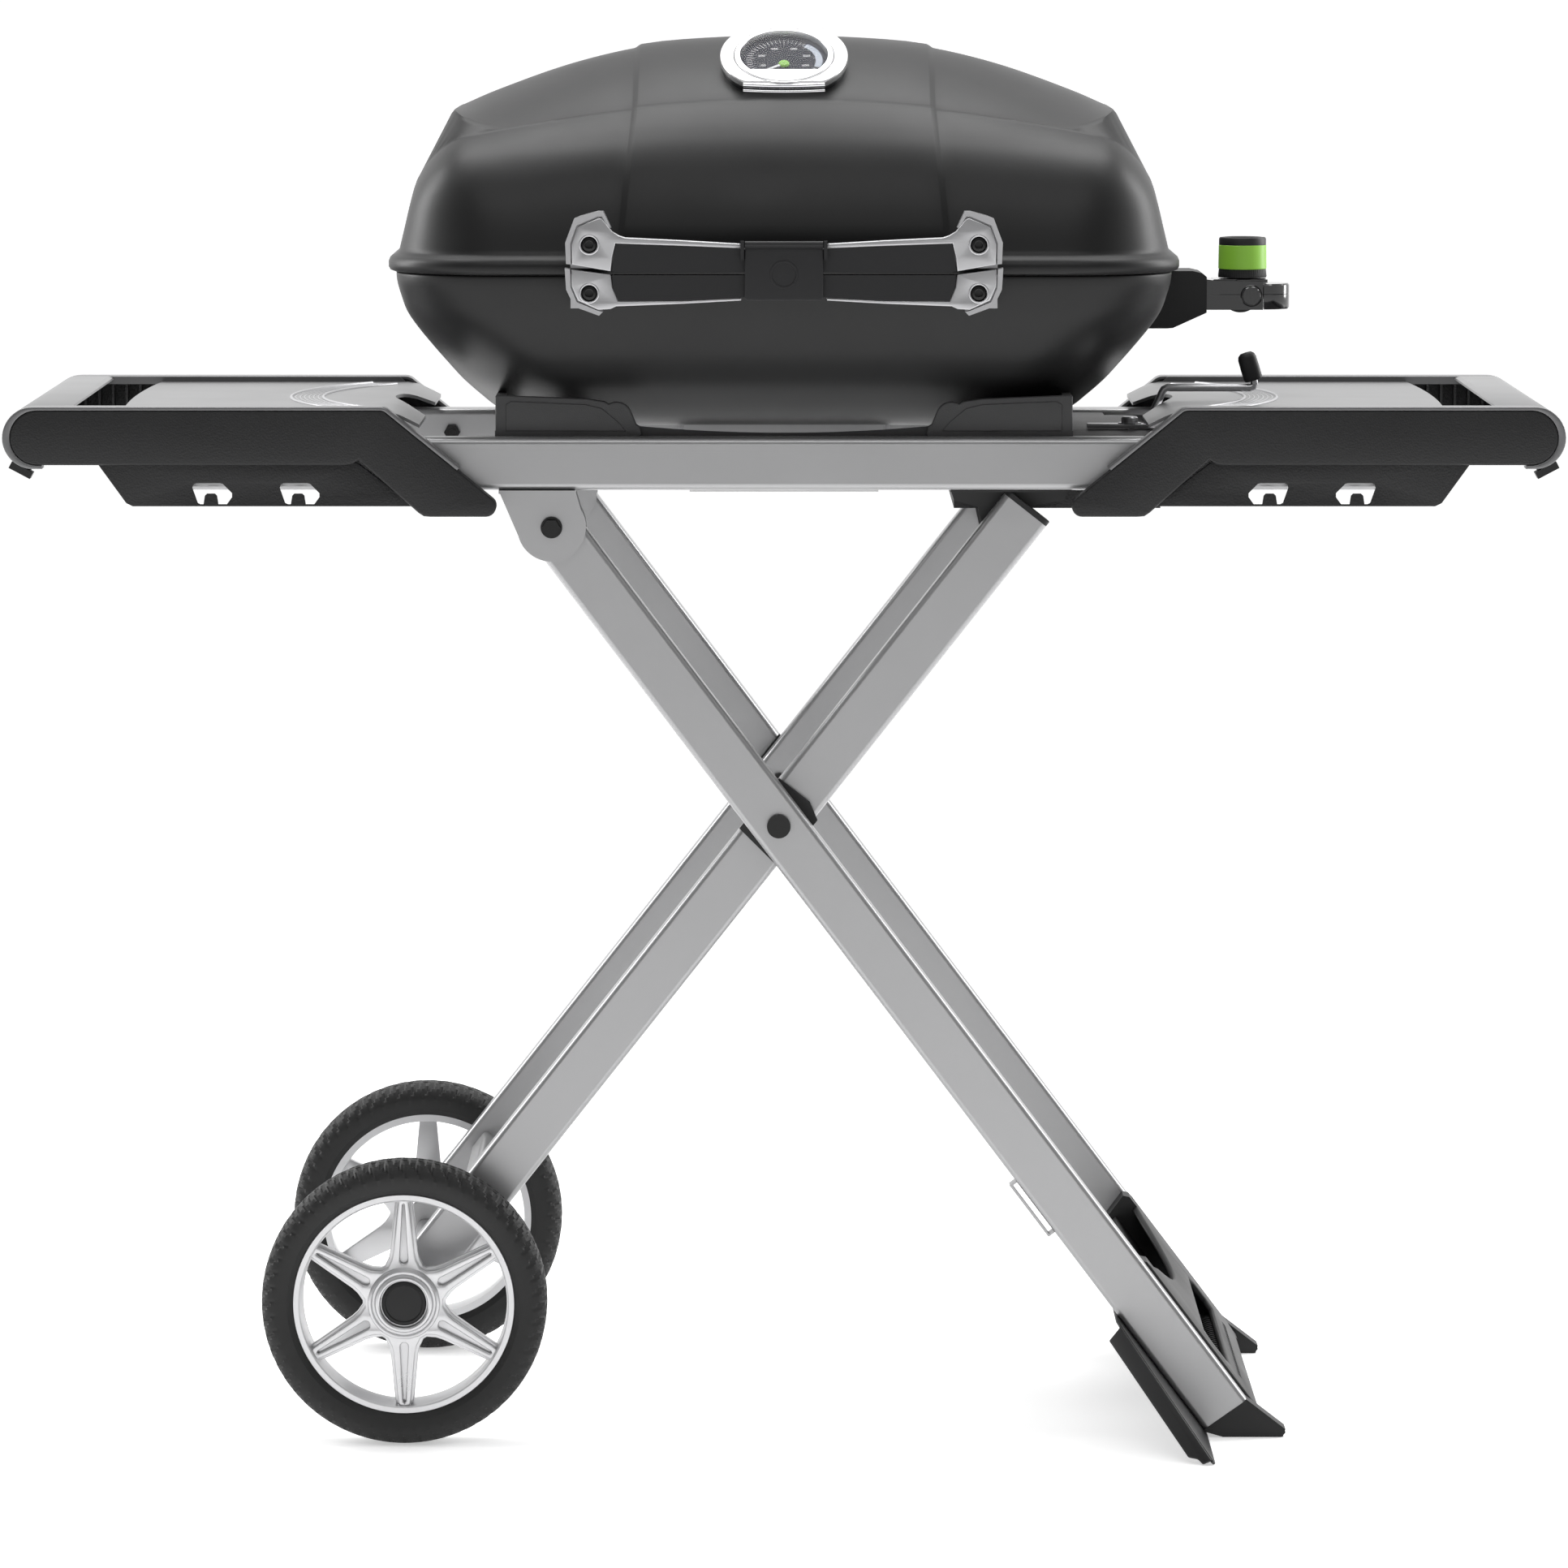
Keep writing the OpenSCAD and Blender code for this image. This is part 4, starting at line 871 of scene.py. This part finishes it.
def make_tray(name, node, sx):
    bm = bmesh.new()
    # rim along the top of each cheek and round its end
    push = RIM_END - 2.5
    top, low = cheek_outline(2.4, push), cheek_outline(-0.3)
    end = 25
    start = len(top) - 7
    band = (top[:end] + [(560, SHELF_UNDER - 2.4), (560, SHELF_UNDER + 0.3)]
            + list(reversed(low[:end])))
    band += list(reversed(low[start:])) + [(246.8, 745.5), (244.8, 747.5)] + top[start:]
    rim = cut_plate(band, [], CHEEK_OUT - RAIL_SIDE - 0.5, 0.9)
    merge(bm, rim, facing_front(-RAIL_SIDE - 0.5))
    add(bm, prism, [(302, 787), (END_X - 6, 787), (END_X - 6, 793), (309, 793)],
        -RAIL_SIDE - 0.9, -RAIL_SIDE + 2.2, width=0.6, segments=2)
    mirrored(bm, 1)

    # panel: bowed outer edge, hollowed inner edge, and a slope down towards the grill
    columns = []
    for j in range(33):
        y = -RAIL_SIDE + 2 * RAIL_SIDE * j / 32
        outer = 506 - 5.9 * (y / RAIL_SIDE) ** 2
        inner = PANEL_INNER
        if abs(y) < HOLLOW_R:
            inner = max(inner, HOLLOW_X + math.sqrt(HOLLOW_R ** 2 - y ** 2))
        column = []
        for x in [inner + (308 - inner) * k / 5 for k in range(6)] + \
                [308 + (outer - 308) * k / 24 for k in range(1, 25)]:
            drop = 15 * smooth_step((303 - x) / 44)
            column.append((x, y, 789 - drop))
        columns.append(column)
    rings = []
    for column in columns:
        under = [(x, y, z - 2.6) for x, y, z in reversed(column)]
        rings.append(column + under)
    panel = bmesh.new()
    skin(panel, rings)
    soften(panel, 0.8, 2, 60)
    merge(bm, panel)

    # grab handle across the end: a rounded channel
    outline = (arc(END_X + push, END_Z, END_R + 2.4, -88, 90, 26) + [(END_X - 20, 793.4)]
               + [(END_X - 24, 792.2), (END_X - 24.6, 790.8), (END_X - 22, 790.2)]
               + arc(END_X, END_Z, END_R - 0.7, 90, -88, 26))
    merge(bm, cut_plate(outline, [], 2 * RAIL_SIDE + 0.4, 0.7), facing_front(RAIL_SIDE + 0.2))
    if sx < 0:
        flip(bm, X_AXIS)
    finish(bm, name, "cart", TRAY, [node])

    # crescent of shallow ribs between two raised beads near the inner end
    trim = bmesh.new()
    beads = [(radius, 36, 789.2, 1.1, 10) for radius in (257, 282)]
    beads += [(261 + 3.5 * k, 35, 789.0, 0.5, 6) for k in range(6)]
    for radius, reach, z, thick, sides in beads:
        angles = [math.radians(a) for a in range(-reach, reach + 1, 2)]
        tube(trim, [(102 + radius * math.cos(a), radius * math.sin(a), z) for a in angles],
             thick, sides)
    if sx < 0:
        flip(trim, X_AXIS)
    finish(trim, name + "_crescent", "cart", SILVER_CAST)


# ---------------------------------------------------------------- saddles and frame trim


def make_saddles():
    bm = bmesh.new()
    face = ([(219, 769.2), (219, 799.2), (217, 800), (150, 797.4), (136, 795.4)]
            + arc(127, 783, 12, 60, 150, 6) + [(112, 778), (109, 776), (108, 769.2)])
    inset = [(211, 773), (211, 793), (207, 795.4), (150, 793), (138, 790), (126, 780),
             (120, 773)]
    merge(bm, cut_plate(face, [], 7, 1.4), facing_front(-161))
    raised = cut_plate(inset, [], 1.6, 0.7)
    merge(bm, raised, facing_front(-167.4))
    add(bm, box, (109, -168, 769), (219.4, -146, 773), width=1, segments=2)
    mirrored(bm, 1)
    add(bm, box, (212, -166, 769.2), (219, 166, 799), width=1.6)
    mirrored(bm, 0)
    finish(bm, "saddle_blocks", "cart", SADDLE, ["saddles"])

    bm = bmesh.new()
    points = [(x, 771.6 + 5.2 * (x / 112) ** 2) for x in range(-112, 113, 8)]
    strip = [(-112, 766)] + points + [(112, 766)]
    prism(bm, [(x, z - 0.8) for x, z in strip], -159, -155)
    soften(bm, 0.7, 2, 50)
    mirrored(bm, 1)
    finish(bm, "saddle_bridge", "cart", SADDLE)


BUMPER_LEAN = 28


def make_bumpers():
    bm = bmesh.new()
    for y in (-190, 190):
        clip = bmesh.new()
        box(clip, (-9, -6, -9), (9, 6, -3.5))
        soften(clip, 1.4, 3)
        for x in (-5, 5):
            add(clip, disc, [(0, -5), (1.7, -5), (1.7, -0.6), (0, -0.6)], 16,
                place=shift(x, 0, 0))
        lean, reach = math.radians(BUMPER_LEAN), END_R + 1
        merge(bm, clip, shift(END_X + reach * math.sin(lean), y,
                                            END_Z - reach * math.cos(lean))
              @ turn(-BUMPER_LEAN, "Y"))
    mirrored(bm, 0)
    finish(bm, "end_clips", "cart", MOULDED_BLACK, ["end_bumpers"])


# ---------------------------------------------------------------- lock lever


def make_lever():
    pivot = joint_at("lever_swing")
    y = pivot.y
    path = [(281, y, 769), (283.5, y, 773), (293.2, y, 794.5), (294.4, y, 796.6),
            (296.8, y, 798), (361, y, 798), (363.6, y, 798.8), (364.6, y, 801), (363.8, y, 806)]
    bm = bmesh.new()
    tube(bm, path, 3.0, 20)
    plate = cut_plate([(235, y - 8), (283, y - 8), (287, y - 5), (287, y + 5), (283, y + 8),
                       (235, y + 8)], [], 3.2, 0.4)
    merge(bm, plate, shift(0, 0, 767))
    add(bm, disc, [(0, 770), (9, 770), (9, 771), (6.5, 771.2), (6.5, 774.6), (5.4, 775.6),
                   (0, 775.8)], 36, place=shift(pivot.x, y, 0))
    finish(bm, "lever_rod", "lever", ZINC, ["lock_lever"])

    bm = bmesh.new()
    disc(bm, [(0, 0), (5.8, 0), (6.9, 0.8), (7.3, 2.2), (7.4, 10), (7.2, 18), (6.4, 20.6),
              (4.2, 22.4), (0, 22.8)], 32)
    for vert in bm.verts:
        vert.co.y *= 0.72
    bm.transform(shift(364, y, 803.5) @ turn(-17, "Y"))
    finish(bm, "lever_knob", "lever", MOULDED_BLACK, ["lever_grip"])


# ---------------------------------------------------------------- legs and feet

LEG_ANGLE = 37


def down_outer_leg():
    """Local frame of the outer legs: Z up along the leg from its top pin, X across it."""
    pin = joint_at("leg_fold")
    return shift(pin.x, 0, pin.z) @ turn(-LEG_ANGLE, "Y")


def across_leg(x):
    """Turns a plate's X-Y outline into the leg's Y-Z, with its thickness along the leg's X."""
    return Matrix(((0, 0, 1, x), (1, 0, 0, 0), (0, 1, 0, 0), (0, 0, 0, 1)))


LEG_IN = 162


def make_foot_moulding():
    bm = bmesh.new()
    # deck: a wide panel with a scooped top edge and an opening for the fingers
    scoop = [(-LEG_IN, -730)] + [(x, -742 - 34 * (1 - (x / 118) ** 2)) for x in
                                 range(-112, 113, 8)] + [(LEG_IN, -730)]
    outline = scoop + [(LEG_IN, -862), (150, -872), (-150, -872), (-LEG_IN, -862)]
    window = ([(-118, -806), (-126, -814), (-126, -830), (-118, -838), (118, -838),
               (126, -830), (126, -814), (118, -806)])
    deck = cut_plate(outline, [window], 5, 1.6)
    merge(bm, deck, across_leg(17))
    add(bm, box, (-2, -LEG_IN + 1, -800), (3, LEG_IN - 1, -734), width=1.5, segments=2)
    # ribbed grip along the lower edge
    add(bm, tube, [(9, y, -852) for y in (-LEG_IN + 2, -60, 0, 60, LEG_IN - 2)], 12.5, 32)
    quarter_turn = turn(90, "X")
    for k in range(28):
        add(bm, turned, [(12, -1), (13.4, -0.8), (13.4, 0.8), (12, 1)], 32,
            place=shift(9, -108 + 8 * k, -852) @ quarter_turn)
    for side in (-1, 1):
        low, high = sorted((side * (LEG_IN - 0.4), side * (LEG_IN - 24)))
        add(bm, prism, [(-2, -872), (18, -878), (21.6, -874), (21.6, -728), (18, -724),
                        (-2, -730)], low, high, width=1.6)
    bm.transform(down_outer_leg())
    finish(bm, "foot_grip_panel", "outer_legs", MOULDED_BLACK, ["foot_moulding"])


def make_foot_plate():
    top, low = -744, -861
    bm = cut_plate([(-200, top), (-208, top - 5), (-291, low + 3), (-288, low), (288, low),
                    (291, low + 3), (208, top - 5), (200, top)], [], 2.5, 0.8)
    bm.transform(across_leg(-22.8))
    for side in (-1, 1):
        flange = bmesh.new()
        a = Vector((0, side * 207, top - 5))
        b = Vector((0, side * 290, low + 3))
        width = Vector((-13.5, 0, 0))
        along = (b - a).normalized()
        thick = along.cross(Vector((1, 0, 0))).normalized() * 2.4 * side
        corners = [a, a + along * 4 + width, b - along * 14 + width, b - along * 8 + width * 0.62,
                   b - along * 2 + width * 0.55, b]
        back = Vector((-21.2, 0, 0))
        near = [flange.verts.new(c + back) for c in corners]
        far = [flange.verts.new(c + back - thick) for c in corners]
        flange.faces.new(near)
        flange.faces.new(list(reversed(far)))
        for i in range(len(near)):
            flange.faces.new((near[i - 1], far[i - 1], far[i], near[i]))
        bmesh.ops.recalc_face_normals(flange, faces=flange.faces)
        soften(flange, 0.9, 3)
        merge(bm, flange)
    bm.transform(down_outer_leg())
    finish(bm, "foot_sheet", "outer_legs", PLATE, ["foot_plate"])


def make_foot_caps():
    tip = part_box("foot_caps")[1][0] / MM
    bm = bmesh.new()
    for side in (-1, 1):
        y0, y1 = sorted((side * 161.6, side * 182.4))
        add(bm, prism, [(tip - 64.2, 4.6), (tip - 48, 0.0), (tip - 3, 0.0), (tip, 3.4),
                        (tip - 0.6, 6.4), (tip - 30.4, 28.6)], y0, y1, width=2.2, segments=4)
    finish(bm, "foot_shoes", "outer_legs", MOULDED_BLACK)


# ---------------------------------------------------------------- wheels

WHEEL_R, RIM_R = 109, 85
SPOKES = 6
# height of the spokes' web and of their ribbed faces above the wheel's middle plane
WEB_LIFT, FACE_LIFT = 2, 8.6
TYRE_HALF_W = 22.5
TREAD_LUGS, TREAD_DEPTH = 56, 1.9


def turn_points(points, degrees):
    c, s = math.cos(math.radians(degrees)), math.sin(math.radians(degrees))
    return [(x * c - y * s, x * s + y * c) for x, y in points]


def spoke_star(r_hub, tip, root, reach):
    """Outline of a hub disc with six spokes that narrow from root to tip half width."""
    points = []
    for k in range(SPOKES):
        local = [(r_hub * 0.94, -root - 4.2), (r_hub + 4.5, -root - 1.2), (r_hub + 10, -root),
                 (reach, -tip), (reach, tip), (r_hub + 10, root), (r_hub + 4.5, root + 1.2),
                 (r_hub * 0.94, root + 4.2)]
        points += turn_points(local, 90 + 60 * k)
    return points


def spoke_slot(degrees):
    """The long tapered recess in a spoke."""
    return turn_points([(76, -0.9), (77, 0), (76, 0.9), (34, 3.2), (32.4, 2.8), (31, 1.6),
                        (30.6, 0), (31, -1.6), (32.4, -2.8), (34, -3.2)], degrees)


def make_wheel(side, body, rim_node, tyre_node, word):
    centre = joint_at(body + "_roll")
    place = shift(*centre) @ turn(90 if side < 0 else -90, "X")

    bm = bmesh.new()
    turned(bm, [(79, -17), (84.6, -17), (84.9, -15.5), (84.9, 16.8), (84.2, 18), (80.4, 18),
                (79.4, 17), (78.6, 12), (78.2, 0), (78.2, -12)], 144)
    merge(bm, cut_plate(spoke_star(30, 6.6, 10.4, 81), [], 7, 0.8),
          shift(0, 0, WEB_LIFT))
    front = cut_plate(spoke_star(29, 4.6, 8.2, 80.5), [spoke_slot(90 + 60 * k)
                                                       for k in range(SPOKES)], 5, 1.2)
    merge(bm, front, shift(0, 0, FACE_LIFT))
    add(bm, turned, [(7, -17), (24, -17), (25.6, -15), (27.4, 8), (27.6, 14.4), (26.8, 16),
                     (25.4, 16.6), (24.6, 16), (24.2, 14.8), (22.6, 14.8), (22.2, 16.2),
                     (21.4, 17.6), (19.8, 18), (18.6, 17.4), (18, 15.4), (17.4, 10), (7, 10)],
        96)
    bm.transform(place)
    finish(bm, word + "_rim_spokes", body, RIM, [rim_node])

    cap = bmesh.new()
    disc(cap, [(0, 9.5), (17.2, 9.5), (17.2, 13.6), (16.2, 15.2), (14.6, 15.6), (13.6, 14.6),
               (6, 14.8), (0, 14.9)], 72)
    cap.transform(place)
    finish(cap, word + "_hub_cap", body, MOULDED_BLACK)

    half = TYRE_HALF_W
    profile = [(RIM_R - 0.6, -17), (RIM_R - 0.6, 17), (RIM_R + 2, half - 3), (RIM_R + 4, half - 1),
               (RIM_R + 8, half - 0.4), (RIM_R + 13, half), (WHEEL_R - 8, half - 0.6),
               (WHEEL_R - 5, half - 2), (WHEEL_R - 3, half - 4), (WHEEL_R - 1.2, 16),
               (WHEEL_R - 0.4, 12), (WHEEL_R, 7), (WHEEL_R, 2.4), (WHEEL_R, 0.8)]
    profile += [(r, -h) for r, h in reversed(profile[2:])]

    def tread(angle, i):
        r, h = profile[i]
        if r < WHEEL_R - 8.5:
            return 0.0
        wave = (angle * TREAD_LUGS / (2 * math.pi) + abs(h) / 9.0) % 1.0
        return -TREAD_DEPTH if wave < 0.3 and abs(h) > 1.5 else 0.0

    bm = bmesh.new()
    turned(bm, profile, 9 * TREAD_LUGS, tread)
    bm.transform(place)
    finish(bm, word + "_tyre_tread", body, TYRE, [tyre_node], angle=24)


# ---------------------------------------------------------------- everything

make_lid()
make_bowl()
make_handle()
make_thermometer()
make_control()
for sx, side_word in ((1, "right"), (-1, "left")):
    make_tray(side_word + "_shelf", side_word + "_tray", sx)
    for sy, end_word in ((-1, "front"), (1, "rear")):
        word = side_word + "_" + end_word
        make_cheek(word + "_side", word + "_cheek", sx, sy)
make_hook_panels()
make_saddles()
make_bumpers()
make_lever()
make_foot_moulding()
make_foot_plate()
make_foot_caps()
make_wheel(-1, "front_wheel", "front_rim", "front_tyre", "front")
make_wheel(1, "rear_wheel", "rear_rim", "rear_tyre", "rear")

keep(["front_rail", "rear_rail", "cross_members", "front_outer_leg", "rear_outer_leg",
      "front_inner_leg", "rear_inner_leg", "leg_brace"], SILVER_PAINT)
keep(["pivot_brackets"], SILVER_PAINT, 0.7)
keep(["hinge_pins", "pan_runners", "axle"], ZINC, 0.4)
keep(["burner"], STAINLESS)
keep(["heat_plate"], STAINLESS, 0.3)
keep(["igniter_electrode"], CERAMIC, 0.3)
keep(["gas_inlet"], BLACK_BOLT, 0.4)
keep(["frame_bolts", "crossing_bolts"], BLACK_BOLT, 0.8)
keep(["lock_housing"], LEATHERY, 1.0)
keep(["drip_pan"], PAN, 0.5)
keep(["left_grate", "right_grate"], IRON, 1.0)
keep(["foot_caps", "leg_pads"], MOULDED_BLACK, 0.8)
keep(["carriage"], PLATE, 0.5)

# ---------------------------------------------------------------- studio

FLOOR_REACH = 150000


def make_floor():
    """A flat pale floor, wide enough to fill the background of every view from above it."""
    bm = bmesh.new()
    corners = [(-1, -1), (1, -1), (1, 1), (-1, 1)]
    bm.faces.new([bm.verts.new((FLOOR_REACH * x, FLOOR_REACH * y, -0.4)) for x, y in corners])
    bm.transform(Matrix.Scale(MM, 4))
    mesh = bpy.data.meshes.new("studio_floor")
    bm.to_mesh(mesh)
    bm.free()
    white = finish_material("studio_white", (0.86, 0.86, 0.86), 0.85, grain=30, bump=0.0,
                            blotch=0.01)
    shader = white.node_tree.nodes["Principled BSDF"]
    shader.inputs["Emission Color"].default_value = (1, 1, 1, 1)
    shader.inputs["Emission Strength"].default_value = 0.45
    mesh.materials.append(white)
    floor = bpy.data.objects.new("studio_floor", mesh)
    bpy.context.scene.collection.objects.link(floor)


def soft_light(name, place, aim, size, power):
    data = bpy.data.lights.new(name, "AREA")
    data.shape = "RECTANGLE"
    data.size, data.size_y = size
    data.energy = power
    light = bpy.data.objects.new(name, data)
    light.location = place
    light.rotation_euler = (Vector(aim) - Vector(place)).to_track_quat("-Z", "Y").to_euler()
    bpy.context.scene.collection.objects.link(light)


make_floor()
soft_light("overhead", (0, 0.3, 2.9), (0, 0, 0.8), (2.6, 1.4), 55)
soft_light("front_high", (0, -2.6, 3.2), (0, 0, 0.8), (2.4, 0.8), 18)
soft_light("left_edge", (-2.6, 0.9, 1.6), (0, 0, 0.7), (0.7, 2.2), 50)
soft_light("right_edge", (2.6, 0.9, 1.6), (0, 0, 0.7), (0.7, 2.2), 50)

# the room is darker in front of the grill than above and behind it
world = bpy.data.worlds.new("studio_world")
world.use_nodes = True
tree = world.node_tree
background = tree.nodes["Background"]
background.inputs["Color"].default_value = (1, 1, 1, 1)
direction = add_node(tree, "TexCoord")
parts = add_node(tree, "SeparateXYZ")
depth_light = add_node(tree, "MapRange", From_Min=-0.75, From_Max=0.6, To_Min=0.1, To_Max=1.1)
tree.links.new(direction.outputs["Generated"], parts.inputs["Vector"])
tree.links.new(parts.outputs["Y"], depth_light.inputs["Value"])
tree.links.new(depth_light.outputs["Result"], background.inputs["Strength"])
bpy.context.scene.world = world
bpy.context.scene.view_settings.view_transform = "Standard"

camera_data = bpy.data.cameras.new("camera")
camera_data.sensor_width = 36
camera_data.lens = 175.5
camera = bpy.data.objects.new("camera", camera_data)
camera.location = (0, -5.9614, 1.1634)
camera.rotation_euler = (math.radians(83.5), 0, 0)
bpy.context.scene.collection.objects.link(camera)
bpy.context.scene.camera = camera
